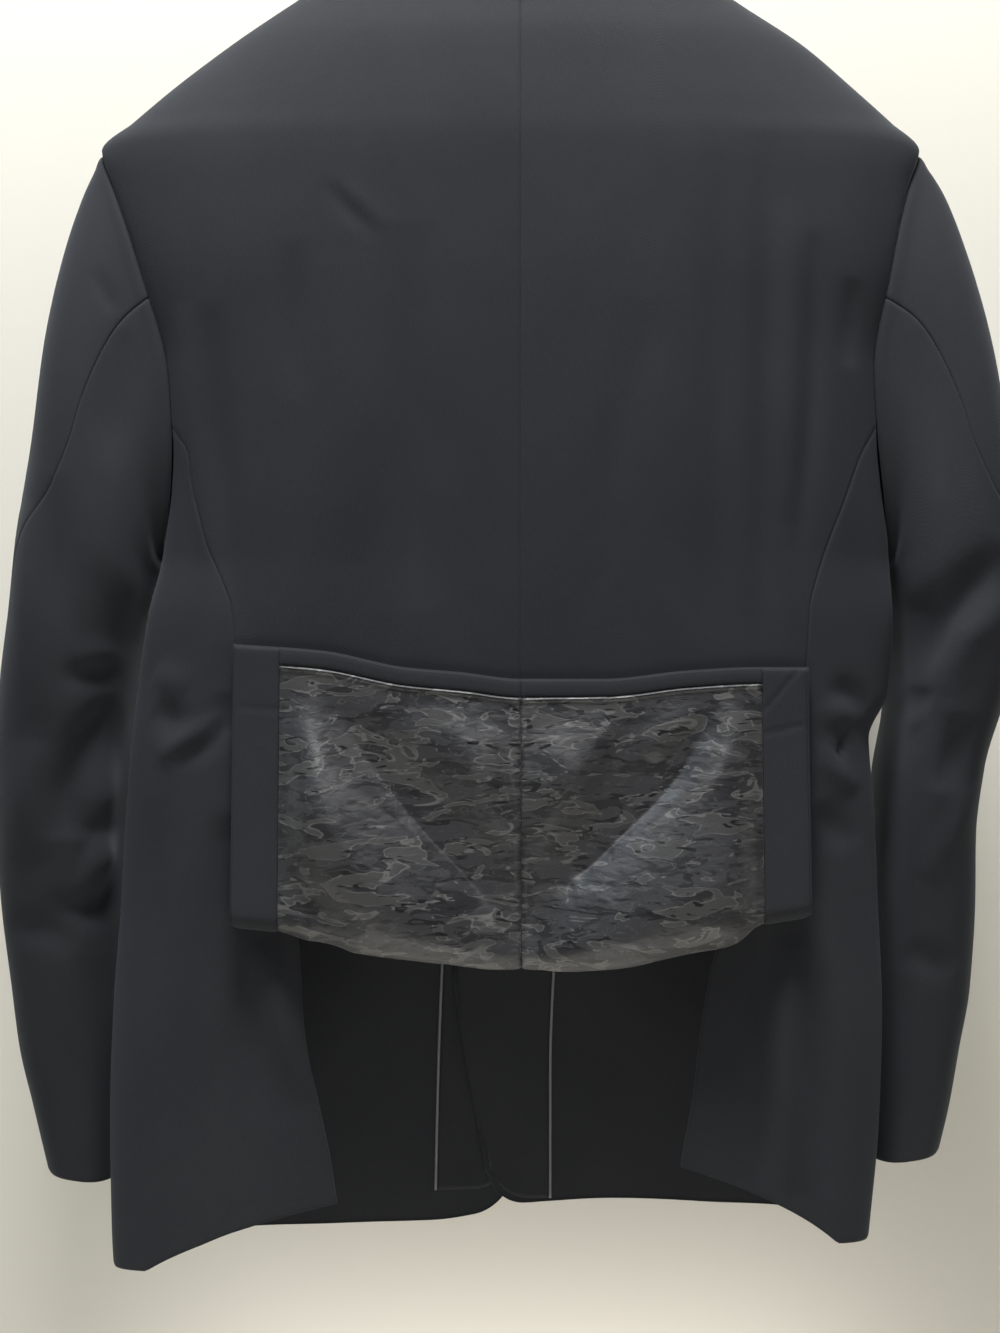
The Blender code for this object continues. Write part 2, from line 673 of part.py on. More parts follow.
def armhole_turns():
    """Turns at the armhole that the torso's pieces also use: down the back and round the underarm."""
    start = armhole_turn(SIDE_SEAM_TOP)
    back = armhole_turn(np.array([d for d in SEAM_DROPS if d < SIDE_SEAM_TOP], float))
    under = np.linspace(start, 2 * np.pi - start, SIDE_ACROSS + 1)
    return back, under


def sleeve_grid(side, piece):
    """One sleeve piece between its two seams; its columns match the torso's points at the armhole."""
    back, under = armhole_turns()
    hind = int(np.argmin(np.abs(back - seam_turn(0.0, "hind"))))
    if piece == "top":
        first = np.concatenate([[under[-1] - 2 * np.pi], -back[::-1], back[1:hind + 1]])
    else:
        first = np.concatenate([back[hind:], under])
    rings = np.linspace(0, len(SLEEVES[side]) - 1, SLEEVE_STEPS + 1)[None, :]
    even = np.linspace(0, 1, len(first))[:, None]
    hind_turn = seam_turn(rings, "hind")
    fore_turn = seam_turn(rings, "fore")
    if piece == "top":
        target = fore_turn + (hind_turn - fore_turn) * even
    else:
        target = hind_turn + (fore_turn + 2 * np.pi - hind_turn) * even
    turn = first[:, None] + (target - first[:, None]) * ease(rings, 0, SEAM_BLEND_RINGS)
    grid = folded(sleeve_points(side, rings, turn))
    opening = CUFF_VENT_OPEN * ease(rings, CUFF_VENT_RING, len(SLEEVES[side]) - 1)[0]
    if piece == "top":
        grid[-1, :, 1] += opening
    else:
        grid[0, :, 1] -= opening * UNDER_SHARE
    return grid


def skirt_inside(side, width, way, distance):
    """Inside of the turned skirt, off its right side by a distance.

    The way runs from -2 to -1 up the inside of the back, from -1 to 0 round the bend, and from 0 to 1 up the skirt.
    """
    end = bend_edge(side, width)
    start_y = y_on(width, end, side, BACK)
    turn = np.pi * np.clip(1 + way, 0, 1)
    up = np.clip(way, 0, 1)
    skirt_drop = end + (read(SKIRT, SKIRT_COLUMNS, "hem", SIDES[side] * width) - end) * up
    skirt_y = y_on(width, skirt_drop, side, BACK) - skirt_off(up) - distance
    radius = BEND_RADIUS + distance
    bend_y = start_y - BEND_RADIUS + radius * np.cos(turn)
    bend_drop = end + radius * np.sin(turn)
    back_drop = end - LINING_TURN_IN * np.clip(-1 - way, 0, 1)
    back_y = y_on(width, back_drop, side, BACK) + distance
    y = np.where(way > 0, skirt_y, np.where(way < -1, back_y, bend_y))
    drop = np.where(way > 0, skirt_drop, np.where(way < -1, back_drop, bend_drop))
    return points(side, width, drop, y)


def skirt_patch(side, from_width, to_width, ways, across, distance):
    """Patch on the inside of the turned skirt between two own-side distances, along a list of ways."""
    share = np.linspace(0, 1, across + 1)[:, None]
    width = from_width + (to_width - from_width) * share
    return skirt_inside(side, width, np.asarray(ways, float)[None, :], distance)


def swollen(grid, ways):
    """Lining let out by its folds, which fade towards its four edges."""
    share = np.linspace(0, 1, grid.shape[0])[:, None]
    way = np.asarray(ways, float)[None, :]
    swell = sum(fold_height(grid[..., 0], -grid[..., 2], fold) for fold in LINING_FOLDS)
    held = ease(way, 0, LOWER_FADE) * (1 - ease(way, ways[-1] - UPPER_FADE, ways[-1]))
    held = held * (1 - ease(share, SIDE_FADE, 1))
    grid = grid.copy()
    grid[..., 1] -= swell * held
    return grid


def lapel_grid(side):
    """Lapel on the outside of the front, from the roll line to its edge and from the gorge to the button."""
    across = np.linspace(0, 1, 5)[:, None]
    down = np.linspace(0, 1, 13)[None, :]
    roll_drop = GORGE_DROP + (ROLL_END - LAPEL_END - GORGE_DROP) * down
    edge_drop = NOTCH_DROP + (ROLL_END - LAPEL_END - NOTCH_DROP) * down
    roll = front_inner_width(roll_drop, side)
    spread = LAPEL_FOOT + (LAPEL_WIDTH - LAPEL_FOOT) * (1 - down) ** LAPEL_TAPER
    edge = front_inner_width(edge_drop, side) + spread + LAPEL_SWELL * np.sin(np.pi * down)
    width = roll + (edge - roll) * across
    drop = roll_drop + (edge_drop - roll_drop) * across
    bulge = (LAPEL_ROLL * np.sin(np.pi * across) + LAPEL_LEAN * across) * (1 - down)
    y = front_y(width, drop, side) + PLY_GAP + LAPEL_CLOTH + bulge
    return points(side, width, drop, y)


def neck_edge(place):
    """Edge of the neck at places from the centre back (0) by the side neck (a half) to the gorge (1)."""
    back_width = NECK_HALF * np.clip(place / 0.5, 0, 1)
    back_drop = -NECK_RISE * (back_width / NECK_HALF) ** 2
    back_y = y_on(back_width, back_drop, "left", BACK)
    front_drop = -NECK_RISE + (GORGE_DROP - COLLAR_END_RISE + NECK_RISE) * np.clip((place - 0.5) / 0.5, 0, 1)
    front_width = front_inner_width(front_drop, "right") - COLLAR_SEAM_LIFT
    front_y_edge = y_on(front_width, front_drop, "left", FRONT)
    at_side = y_at_share(-NECK_RISE, 0.5)
    front_y_edge = at_side + (front_y_edge - at_side) * ease(place, *COLLAR_TURN)
    on_back = place < 0.5
    width = np.where(on_back, back_width, front_width)
    drop = np.where(on_back, back_drop, front_drop)
    return np.stack([width, np.where(on_back, back_y, front_y_edge), COLLAR_SEAM_LIFT - drop], axis=-1)


def collar_grids():
    """Stand from the neck seam up to the crease, and leaf over the stand and down to its edge."""
    along = np.linspace(-1, 1, 25)
    place = np.abs(along)
    knots = [row[0] for row in COLLAR]
    crease, edge = (
        np.stack([smooth(place, knots, [row[index][k] for row in COLLAR]) for k in range(3)], axis=-1)
        for index in (COLLAR_COLUMNS.index("crease"), COLLAR_COLUMNS.index("edge"))
    )
    seam = neck_edge(place)
    mirrored = np.sign(along)[:, None] * np.array([1, 0, 0]) + np.array([0, 1, 1])
    crease, edge, seam = crease * mirrored, edge * mirrored, seam * mirrored
    run = unit(np.gradient(crease, axis=0))
    up = crease - seam
    up = unit(up - np.sum(up * run, axis=-1, keepdims=True) * run)
    outward = np.cross(run, up)
    outward = outward * np.sign(np.sum(outward * (edge - crease), axis=-1, keepdims=True))
    off = COLLAR_CLOTH + COLLAR_PLY_GAP
    stand = [seam, seam + (crease - seam) * 0.5, crease]
    leaf = []
    for row in LEAF:
        part, rise, out = (row[LEAF_COLUMNS.index(name)] for name in ("share", "up", "outward"))
        leaf.append(crease + (edge - crease) * part + off * (rise * up + out * outward))
    return [np.stack(rows, axis=1) for rows in (stand, leaf)]


def material(finish):
    """Principled material of a finish, made once."""
    name, colour, roughness, metallic = finish
    found = bpy.data.materials.get(name)
    if found:
        return found
    made = bpy.data.materials.new(name)
    made.use_nodes = True
    shader = made.node_tree.nodes["Principled BSDF"]
    shader.inputs["Base Color"].default_value = colour
    shader.inputs["Roughness"].default_value = roughness
    shader.inputs["Metallic"].default_value = metallic
    made.diffuse_color = colour
    return made


def wall(name, grid, thickness, finish, outward, at=None):
    """Open surface of a grid with a wall inside it; its outer side faces outward at one grid point."""
    spot = at or (grid.shape[0] // 2, grid.shape[1] // 2)
    if normals(grid)[spot] @ np.asarray(outward, float) < 0:
        grid = grid[::-1]
    rows, columns = grid.shape[:2]
    index = np.arange(rows * columns).reshape(rows, columns)
    quads = np.stack([index[:-1, :-1], index[1:, :-1], index[1:, 1:], index[:-1, 1:]], axis=-1).reshape(-1, 4)
    mesh = bpy.data.meshes.new(name)
    mesh.from_pydata((grid.reshape(-1, 3) * MM).tolist(), [], quads.tolist())
    mesh.shade_smooth()
    piece = bpy.data.objects.new(name, mesh)
    COAT.objects.link(piece)
    piece.data.materials.append(material(finish))
    solid = piece.modifiers.new("wall", "SOLIDIFY")
    solid.thickness = thickness * MM
    solid.offset = -1.0
    solid.use_even_offset = False
    piece.parent = ROOT
    return piece


def make_torso():
    """Backs with the turned skirt, side bodies with their underlaps, and fronts."""
    for side in SIDES:
        sign = SIDES[side]
        grid = back_grid(side)
        armhole_rows = sum(drop <= SIDE_SEAM_TOP for drop in SEAM_DROPS)
        grid = trimmed(grid, first=HALF_SEAM, last=HALF_CURVED_SEAM, top=HALF_SEAM)
        grid[-1, :armhole_rows, 0] -= sign * (HALF_ARMHOLE_SEAM - HALF_SEAM)
        wall(f"back_{side}", grid, CLOTH, WOOL, (0, -1, 0), at=(BACK_ACROSS // 2, 8))
        grid = side_grid(side)
        grid = trimmed(grid, first=HALF_CURVED_SEAM, last=HALF_CURVED_SEAM, top=2 * HALF_ARMHOLE_SEAM)
        wall(f"side_{side}", grid, CLOTH, WOOL, (sign, 0, 0))
        grid = trimmed(front_grid(side), last=HALF_CURVED_SEAM, top=HALF_SEAM)
        grid[-1, :armhole_rows, 0] -= sign * (HALF_ARMHOLE_SEAM - HALF_SEAM)
        wall(f"front_{side}", grid, CLOTH, WOOL, (0, 1, 0))


def make_sleeves():
    """Two-piece sleeves, open at the armhole and at the cuff."""
    for side in SIDES:
        for piece, outward in (("top", (0, 1, 0)), ("under", (0, -1, 0))):
            grid = sleeve_grid(side, piece)
            grid = trimmed(grid, first=HALF_CURVED_SEAM, last=HALF_CURVED_SEAM, top=HALF_ARMHOLE_SEAM)
            spot = (grid.shape[0] // 2, SLEEVE_STEPS // 2)
            wall(f"{piece}_sleeve_{side}", grid, CLOTH, WOOL, outward, at=spot)


def make_skirt_inside():
    """Lining and facing strips that lie on the inside of the turned skirt."""
    lift = CLOTH + PLY_GAP
    hem_low = 1 - HEM_STRIP / (SKIRT[4][1] - SKIRT[4][2])
    bend = list(np.linspace(-1, 0, BEND_STEPS + 2))
    for side in SIDES:
        edge = float(edge_width(VENT_TOP, side, BACK)) - STRIP_SET_BACK
        seam = edge - VENT_STRIP
        ways = bend[2:-1] + list(np.linspace(0, HIGHEST_WAY, 9))
        strip = skirt_patch(side, seam + HALF_SEAM, edge, ways, 2, lift + FACING_CLOTH)
        wall(f"skirt_facing_{side}", strip, FACING_CLOTH, WOOL, (0, -1, 0))
        ways = (hem_low + WAY_GAP, HIGHEST_WAY)
        strip = skirt_patch(side, HALF_SEAM, seam - HALF_SEAM, ways, 8, lift + FACING_CLOTH)
        wall(f"skirt_hem_{side}", strip, FACING_CLOTH, WOOL, (0, -1, 0))
        ways = [-2.0] + bend[:-1] + list(np.linspace(0, hem_low - WAY_GAP, 11))
        lining = skirt_patch(side, HALF_SEAM, seam - HALF_SEAM, ways, 8, lift + LINING_CLOTH)
        wall(f"skirt_lining_{side}", swollen(lining, ways), LINING_CLOTH, JACQUARD, (0, -1, 0), at=(4, 12))


def make_facings():
    """Facings inside the fronts and the piping along their edges."""
    for side in SIDES:
        sign = SIDES[side]
        down = np.linspace(0, 1, 11)[None, :]
        across = np.linspace(0, 1, 4)[:, None]
        hem_edge = HEM[side]["edge"]
        drops = FACING_TOP + (hem_edge - FACING_RISE - FACING_TOP) * down
        edge_table = PIPING_X[side]
        piping_width = sign * smooth(drops, [row[0] for row in edge_table], [row[1] for row in edge_table])
        inner = front_inner_width(drops, side) + FACING_SET_BACK
        width = inner + (piping_width - inner) * across
        corner = np.clip((width - width[:1]) / HEM_CORNER, 0, 1)
        drop = drops - HEM_CORNER * (1 - np.sqrt(1 - (1 - corner) ** 2)) * down ** CORNER_FADE
        y = front_y(width, drop, side) - CLOTH - PLY_GAP
        grid = folded(points(side, width, drop, y))
        wall(f"front_facing_{side}", grid, FACING_CLOTH, WOOL, (0, 1, 0))
        line = grid[-1].copy()
        line[:, 0] += sign * (PIPING_RADIUS + PLY_GAP)
        line[:, 1] -= FACING_CLOTH / 2 + PIPING_SET_IN
        tube(f"facing_piping_{side}", line, PIPING_RADIUS, PIPING)


def tube(name, line, radius, finish):
    """Round cord along a line of points."""
    curve = bpy.data.curves.new(name, "CURVE")
    curve.dimensions = "3D"
    curve.bevel_depth = radius * MM
    curve.bevel_resolution = 2
    curve.use_fill_caps = True
    spline = curve.splines.new("POLY")
    spline.points.add(len(line) - 1)
    for point, place in zip(spline.points, line):
        point.co = (*(place * MM), 1.0)
    piece = bpy.data.objects.new(name, curve)
    COAT.objects.link(piece)
    curve.materials.append(material(finish))
    piece.parent = ROOT


def make_lapels_and_collar():
    """Lapels on the fronts and the collar round the neck."""
    for side in SIDES:
        wall(f"lapel_{side}", lapel_grid(side), LAPEL_CLOTH, WOOL, (0, 1, 0))
    stand, leaf = collar_grids()
    wall("collar_stand", stand, COLLAR_CLOTH, WOOL, (0, -1, 0))
    wall("collar_leaf", leaf, COLLAR_CLOTH, WOOL, (0, -1, 0))


def patch_on_front(side, from_width, to_width, low, high, slope, across, along):
    """Plain patch on the outside of a front."""
    share = np.linspace(0, 1, across + 1)[:, None]
    down = np.linspace(0, 1, along + 1)[None, :]
    width = from_width + (to_width - from_width) * share
    drop = low + (high - low) * down - slope * share
    grid = folded(points(side, width, drop, front_y(width, drop, side)))
    grid[..., 1] += PLY_GAP + LAPEL_CLOTH
    return grid


def make_pockets():
    """Pocket flaps at the hips and the breast welt."""
    for side in SIDES:
        grid = patch_on_front(
            side, POCKET_FROM, POCKET_TO, POCKET_TOP, POCKET_TOP + POCKET_DEPTH, POCKET_SLOPE, 5, 2
        )
        wall(f"pocket_flap_{side}", grid, LAPEL_CLOTH, WOOL, (0, 1, 0))
    grid = patch_on_front(
        "left", WELT_FROM, WELT_TO, WELT_DROP, WELT_DROP + WELT_DEPTH, WELT_RISE, 4, 1
    )
    wall("breast_welt", grid, LAPEL_CLOTH, WOOL, (0, 1, 0))


def make_buttons():
    """Round buttons on the centre line of the outer front."""
    for name, drop in BUTTON_DROPS.items():
        y = float(front_y(-CENTRE_FRONT, drop, "left")) + 2 * PLY_GAP + BUTTON_THICKNESS / 2
        bpy.ops.mesh.primitive_cylinder_add(
            vertices=BUTTON_SIDES,
            radius=BUTTON_RADIUS * MM,
            depth=BUTTON_THICKNESS * MM,
            location=(CENTRE_FRONT * MM, y * MM, -drop * MM),
            rotation=(np.pi / 2, 0, 0),
        )
        piece = bpy.context.object
        piece.name = name
        piece.data.name = name
        bevel = piece.modifiers.new("rim", "BEVEL")
        bevel.width = BUTTON_RIM * MM
        bevel.segments = 2
        piece.data.materials.append(material(HORN))
        for holder in list(piece.users_collection):
            holder.objects.unlink(piece)
        COAT.objects.link(piece)
        piece.parent = ROOT


def make_loop():
    """Hanger loop: a short band whose ends lie on the inside of the back neck, arched off it in its middle."""
    along = np.linspace(-1, 1, 11)[:, None]
    across = np.linspace(0, 1, 3)[None, :]
    arch = 1 - along ** 2
    x = LOOP_HALF * along + 0 * across
    z = -LOOP_DROP + LOOP_RISE * arch + LOOP_WIDTH * across
    y = y_on(np.abs(x), -z, "left", BACK) + 2 * CLOTH + PLY_GAP + LOOP_ARCH * arch
    wall("hanger_loop", np.stack([x, y, z], axis=-1), CLOTH, WOOL, (0, 1, 0))


for old in list(bpy.data.objects):
    bpy.data.objects.remove(old)
COAT = bpy.data.collections.new("sport_coat")
bpy.context.scene.collection.children.link(COAT)
ROOT = bpy.data.objects.new("coat_root", None)
COAT.objects.link(ROOT)
make_torso()
make_sleeves()
make_skirt_inside()
make_facings()
make_lapels_and_collar()
make_pockets()
make_buttons()
make_loop()
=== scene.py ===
# %% [markdown]
# # A sport coat, seen from behind with its back skirt turned up
# The coat hangs filled out. Its solids give the sizes and the main forms. Here each panel is worked out again
# from the same named sizes on a much finer grid, as thin cloth with its creases, seams and turned edges.
# Millimetres are used throughout, X is the wearer's right, Y points from the back to the front, and a "drop" is a
# distance below the hanger loop.

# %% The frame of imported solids
import math

import bpy
import numpy as np
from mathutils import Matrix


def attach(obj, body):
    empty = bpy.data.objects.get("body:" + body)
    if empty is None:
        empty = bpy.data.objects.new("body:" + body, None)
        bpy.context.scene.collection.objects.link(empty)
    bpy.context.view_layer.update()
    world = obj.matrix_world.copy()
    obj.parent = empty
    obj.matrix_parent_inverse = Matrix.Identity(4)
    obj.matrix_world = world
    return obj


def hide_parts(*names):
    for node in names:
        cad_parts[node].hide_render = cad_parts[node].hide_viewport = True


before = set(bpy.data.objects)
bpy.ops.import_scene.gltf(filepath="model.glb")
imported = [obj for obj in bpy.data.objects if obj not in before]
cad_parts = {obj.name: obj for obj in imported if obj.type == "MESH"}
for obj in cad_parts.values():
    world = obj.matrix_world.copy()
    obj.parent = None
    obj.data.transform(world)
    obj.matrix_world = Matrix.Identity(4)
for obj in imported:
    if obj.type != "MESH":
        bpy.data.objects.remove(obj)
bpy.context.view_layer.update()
MM = 0.001

# %% [markdown]
# ## Camera, light and backdrop
# The photograph was taken square to the coat's back, from about a metre away, with a phone's normal lens. A plain
# pale wall stands just behind the coat and takes its soft shadow. The wall lets light and sight through from its
# own back, so the coat's front can be looked at as well.

# %% Camera, light and backdrop
CAMERA_AT = (-0.0126, -1.03, -0.4306)
LENS = 45.0
SENSOR = 36.0
WALL_Y = 0.235
WALL_HALF = 2.6
WALL_TOP = 1.3
FLOOR_Z = -1.55
FLOOR_FRONT = -3.4
COVE = 0.35
COVE_STEPS = 13
WALL_SURFACE = {"Base Color": (0.77, 0.742, 0.66, 1.0), "Roughness": 0.9}
ROOM_COLOUR = (0.93, 0.95, 1.0, 1.0)
ROOM_STRENGTH = 0.12

scene = bpy.context.scene
camera = bpy.data.objects.new("camera", bpy.data.cameras.new("camera"))
camera.data.lens = LENS
camera.data.sensor_width = SENSOR
camera.data.sensor_fit = "AUTO"
camera.location = CAMERA_AT
camera.rotation_euler = (math.pi / 2, 0, 0)
scene.collection.objects.link(camera)
scene.camera = camera
scene.view_settings.view_transform = "Standard"

# Square area lights by name: place, point aimed at, width in metres, power in watts, colour
LIGHTS = {
    "key_from_above": ((-0.06, -0.54, 1.30), (0, 0.0, -0.35), 0.45, 50.0, (0.99, 0.985, 0.98)),
    "ceiling": ((-0.1, -1.0, 1.9), (0, -0.1, -0.45), 2.0, 12.0, (0.93, 0.97, 1.0)),
    "fill_from_left": ((-1.5, -0.5, 1.3), (-0.25, 0, -0.2), 0.8, 9.0, (0.66, 0.84, 1.0)),
    "fill_from_below": ((0.0, -0.7, -1.5), (0.0, 0.235, -0.85), 0.9, 5.0, (1.0, 0.98, 0.96)),
    "wall_wash_low": ((0.0, 0.06, -1.15), (0.0, 0.235, -1.2), 0.5, 0.8, (1.0, 0.96, 0.94)),
    "front_side": ((0.5, 2.0, 0.9), (0, 0, -0.4), 1.6, 32.0, (1.0, 1.0, 1.0)),
}
# The coat's front is lit from beyond the wall, which would keep this light off it if it cast shadows
SHADOWLESS = "front_side"


def aim(piece, target):
    """Turn a light so that it faces a point."""
    way = np.asarray(target, float) - np.asarray(piece.location, float)
    flat = math.hypot(way[0], way[1])
    piece.rotation_euler = (math.atan2(flat, -way[2]), 0, math.atan2(way[1], way[0]) - math.pi / 2)


for name, (place, target, size, power_w, colour) in LIGHTS.items():
    light = bpy.data.objects.new(name, bpy.data.lights.new(name, "AREA"))
    light.data.energy = power_w
    light.data.size = size
    light.data.color = colour
    light.data.use_shadow = name != SHADOWLESS
    light.location = place
    aim(light, target)
    scene.collection.objects.link(light)

world = bpy.data.worlds.new("room")
world.use_nodes = True
background = world.node_tree.nodes["Background"]
background.inputs["Color"].default_value = ROOM_COLOUR
background.inputs["Strength"].default_value = ROOM_STRENGTH
scene.world = world


def nodes_of(name, surface):
    """New node material: its tree, its Principled shader set to the given values, and a function that adds nodes."""
    made = bpy.data.materials.new(name)
    made.use_nodes = True
    tree = made.node_tree
    shader = tree.nodes["Principled BSDF"]
    for key, value in surface.items():
        shader.inputs[key].default_value = value

    def add(kind, inputs=None, **settings):
        """Node with its settings; an input is linked where a socket is given, and set where a value is."""
        node = tree.nodes.new(kind)
        for key, value in settings.items():
            setattr(node, key, value)
        for key, value in (inputs or {}).items():
            if isinstance(value, bpy.types.NodeSocket):
                tree.links.new(value, node.inputs[key])
            else:
                node.inputs[key].default_value = value
        return node

    return made, tree, shader, add


wall_paint, tree, shader, add = nodes_of("wall_paint", WALL_SURFACE)
seen_from = add("ShaderNodeNewGeometry")
clear = add("ShaderNodeBsdfTransparent")
mix = add("ShaderNodeMixShader", {
    0: seen_from.outputs["Backfacing"], 1: shader.outputs["BSDF"], 2: clear.outputs["BSDF"]})
tree.links.new(mix.outputs["Shader"], tree.nodes["Material Output"].inputs["Surface"])

turn = np.linspace(0, math.pi / 2, COVE_STEPS)
profile = np.concatenate([
    [[FLOOR_FRONT, FLOOR_Z]],
    np.stack([WALL_Y - COVE + COVE * np.sin(turn), FLOOR_Z + COVE - COVE * np.cos(turn)], axis=-1),
    [[WALL_Y, WALL_TOP]],
])
corners = np.array([(x, y, z) for y, z in profile for x in (-WALL_HALF, WALL_HALF)])
mesh = bpy.data.meshes.new("backdrop")
mesh.from_pydata(corners.tolist(), [], [(2 * i, 2 * i + 1, 2 * i + 3, 2 * i + 2) for i in range(len(profile) - 1)])
mesh.shade_smooth()
backdrop = bpy.data.objects.new("backdrop", mesh)
backdrop.data.materials.append(wall_paint)
scene.collection.objects.link(backdrop)
print("camera at", CAMERA_AT, "backdrop", len(profile), "rows")

# %% [markdown]
# ## Finishes
# The coat's cloth is a fine dark worsted: matt, with a faint nap that catches light at grazing angles, and a weave
# too fine to see from a metre away. The lining is a satin jacquard: its camouflage is woven, not printed, so the
# shapes differ in shine as much as in tone. Both patterns run in the cloth's own lengths, kept as a UV map in metres.

# %% Finishes
WOOL_DARK = (0.0185, 0.0195, 0.0225, 1.0)
WOOL_LIGHT = (0.0255, 0.0265, 0.0300, 1.0)
WOOL_LEVELS = (0.36, 0.64)
WOOL_SURFACE = {"Roughness": 0.78, "Specular IOR Level": 0.12, "Sheen Weight": 0.07, "Sheen Roughness": 0.6,
                "Sheen Tint": (0.80, 0.88, 1.0, 1.0)}
WOOL_CLOUDS = {"Scale": 9.0, "Detail": 3.0, "Roughness": 0.6}
WOOL_THREADS = (1500.0, 240.0, 1.0)
WOOL_RELIEF = {"Strength": 0.25, "Distance": 0.00012}
TWILL_PERIOD = 0.0011
TWILL_ANGLE = 35.0
TWILL_WAVE = {"Scale": 0.3, "Distortion": 1.2, "Detail": 1.0}
SATIN_SURFACE = {"Specular IOR Level": 0.7, "Anisotropic": 0.35, "Sheen Weight": 0.12}
SATIN_ROUGH = 0.50
SATIN_SHINE = 0.12
SATIN_THREADS = (2600.0, 500.0, 1.0)
SATIN_PUCKER = (90.0, 150.0, 1.0)
LINING_BASE = (0.025, 0.025, 0.028, 1.0)
LINING_PALE = (0.048, 0.048, 0.047, 1.0)
PATCH_EDGE = 0.006

# Layers of the camouflage, each over those before: tone, scale, shift, distortion, detail, lower and upper level
LAYERS = {
    "shade": ((0.009, 0.009, 0.011, 1.0), (36, 98, 1), (3.1, 0.7, 0), 0.9, 2.0, 0.52, 2.0),
    "pale": (LINING_PALE, (31, 80, 1), (0.4, 5.2, 0), 1.2, 2.0, 0.575, 2.0),
    "rim": ((0.098, 0.098, 0.095, 1.0), (31, 80, 1), (0.4, 5.2, 0), 1.2, 2.0, 0.558, 0.584),
    "second": (LINING_PALE, (48, 120, 1), (7.7, 2.6, 0), 1.6, 2.0, 0.575, 0.60),
    "dark": ((0.001, 0.001, 0.002, 1.0), (58, 240, 1), (1.9, 9.3, 0), 1.2, 1.5, 0.63, 2.0),
}


def drawn_noise(add, uv, scale, shift=(0, 0, 0), **inputs):
    """Noise over the cloth's lengths, drawn together by a scale and moved by a shift."""
    place = add("ShaderNodeMapping", {"Vector": uv, "Location": shift, "Scale": scale})
    return add("ShaderNodeTexNoise", {"Vector": place.outputs["Vector"], "Scale": 1.0, **inputs}).outputs["Fac"]


def reckon(add, operation, first, second):
    """Sum, difference or product of two values."""
    return add("ShaderNodeMath", {0: first, 1: second}, operation=operation).outputs[0]


def wool(name):
    """Worsted: two close tones in soft clouds and threads, a twill bump along the cloth, and a nap."""
    made, tree, shader, add = nodes_of(name, WOOL_SURFACE)
    uv = add("ShaderNodeUVMap", uv_map="cloth").outputs["UV"]
    clouds = add("ShaderNodeTexNoise", {"Vector": uv, **WOOL_CLOUDS}).outputs["Fac"]
    threads = drawn_noise(add, uv, WOOL_THREADS, Detail=2.0, Roughness=0.7)
    ramp = add("ShaderNodeValToRGB", {"Fac": reckon(add, "MULTIPLY", reckon(add, "ADD", clouds, threads), 0.5)})
    for element, level, tone in zip(ramp.color_ramp.elements, WOOL_LEVELS, (WOOL_DARK, WOOL_LIGHT)):
        element.position = level
        element.color = tone
    ribs = add("ShaderNodeMapping", {
        "Vector": uv, "Rotation": (0, 0, math.radians(TWILL_ANGLE)), "Scale": (1 / TWILL_PERIOD,) * 3})
    twill = add("ShaderNodeTexWave", {"Vector": ribs.outputs["Vector"], **TWILL_WAVE}).outputs["Fac"]
    bump = add("ShaderNodeBump", {"Height": reckon(add, "ADD", twill, threads), **WOOL_RELIEF})
    tree.links.new(ramp.outputs["Color"], shader.inputs["Base Color"])
    tree.links.new(bump.outputs["Normal"], shader.inputs["Normal"])
    return made


def jacquard(name):
    """Satin lining with a woven camouflage: stretched clouds cut at levels into shade, pale, rims and dark flecks."""
    made, tree, shader, add = nodes_of(name, SATIN_SURFACE)
    uv = add("ShaderNodeUVMap", uv_map="cloth").outputs["UV"]

    def patches(scale, shift, distortion, detail, low, high):
        """One where a stretched noise lies between two levels, with a narrow soft edge, and zero elsewhere."""
        noise = drawn_noise(add, uv, scale, shift, Detail=detail, Roughness=0.52, Distortion=distortion)
        above, below = (add("ShaderNodeMapRange", {
            "Value": noise, "From Min": level - PATCH_EDGE, "From Max": level + PATCH_EDGE, "To Min": start,
            "To Max": 1.0 - start}, clamp=True).outputs["Result"] for level, start in ((low, 0.0), (high, 1.0)))
        return reckon(add, "MULTIPLY", above, below)

    masks = {layer: patches(*shape) for layer, (_, *shape) in LAYERS.items()}
    colour = LINING_BASE
    for layer, (tone, *_) in LAYERS.items():
        mix = add("ShaderNodeMix", {"Factor": masks[layer], "A": colour, "B": tone}, data_type="RGBA")
        colour = mix.outputs["Result"]
    rough = reckon(add, "SUBTRACT", SATIN_ROUGH, reckon(add, "MULTIPLY", masks["pale"], SATIN_SHINE))
    threads = drawn_noise(add, uv, SATIN_THREADS, Detail=1.0)
    pucker = drawn_noise(add, uv, SATIN_PUCKER, Detail=2.0, Distortion=0.6)
    broad = add("ShaderNodeBump", {"Height": pucker, "Strength": 0.5, "Distance": 0.0012})
    bump = add("ShaderNodeBump", {
        "Height": threads, "Strength": 0.2, "Distance": 0.0001, "Normal": broad.outputs["Normal"]})
    tree.links.new(colour, shader.inputs["Base Color"])
    tree.links.new(rough, shader.inputs["Roughness"])
    tree.links.new(bump.outputs["Normal"], shader.inputs["Normal"])
    return made


WOOL = wool("worsted")
JACQUARD = jacquard("camouflage_jacquard")
PIPING, HORN, THREAD = (nodes_of(name, surface)[0] for name, surface in {
    "piping_satin": {"Base Color": (0.15, 0.15, 0.148, 1.0), "Roughness": 0.5, "Sheen Weight": 0.2},
    "horn": {"Base Color": (0.018, 0.016, 0.015, 1.0), "Roughness": 0.3, "Coat Weight": 0.4},
    "dark_thread": {"Base Color": (0.012, 0.012, 0.014, 1.0), "Roughness": 0.6, "Sheen Weight": 0.2},
}.items())

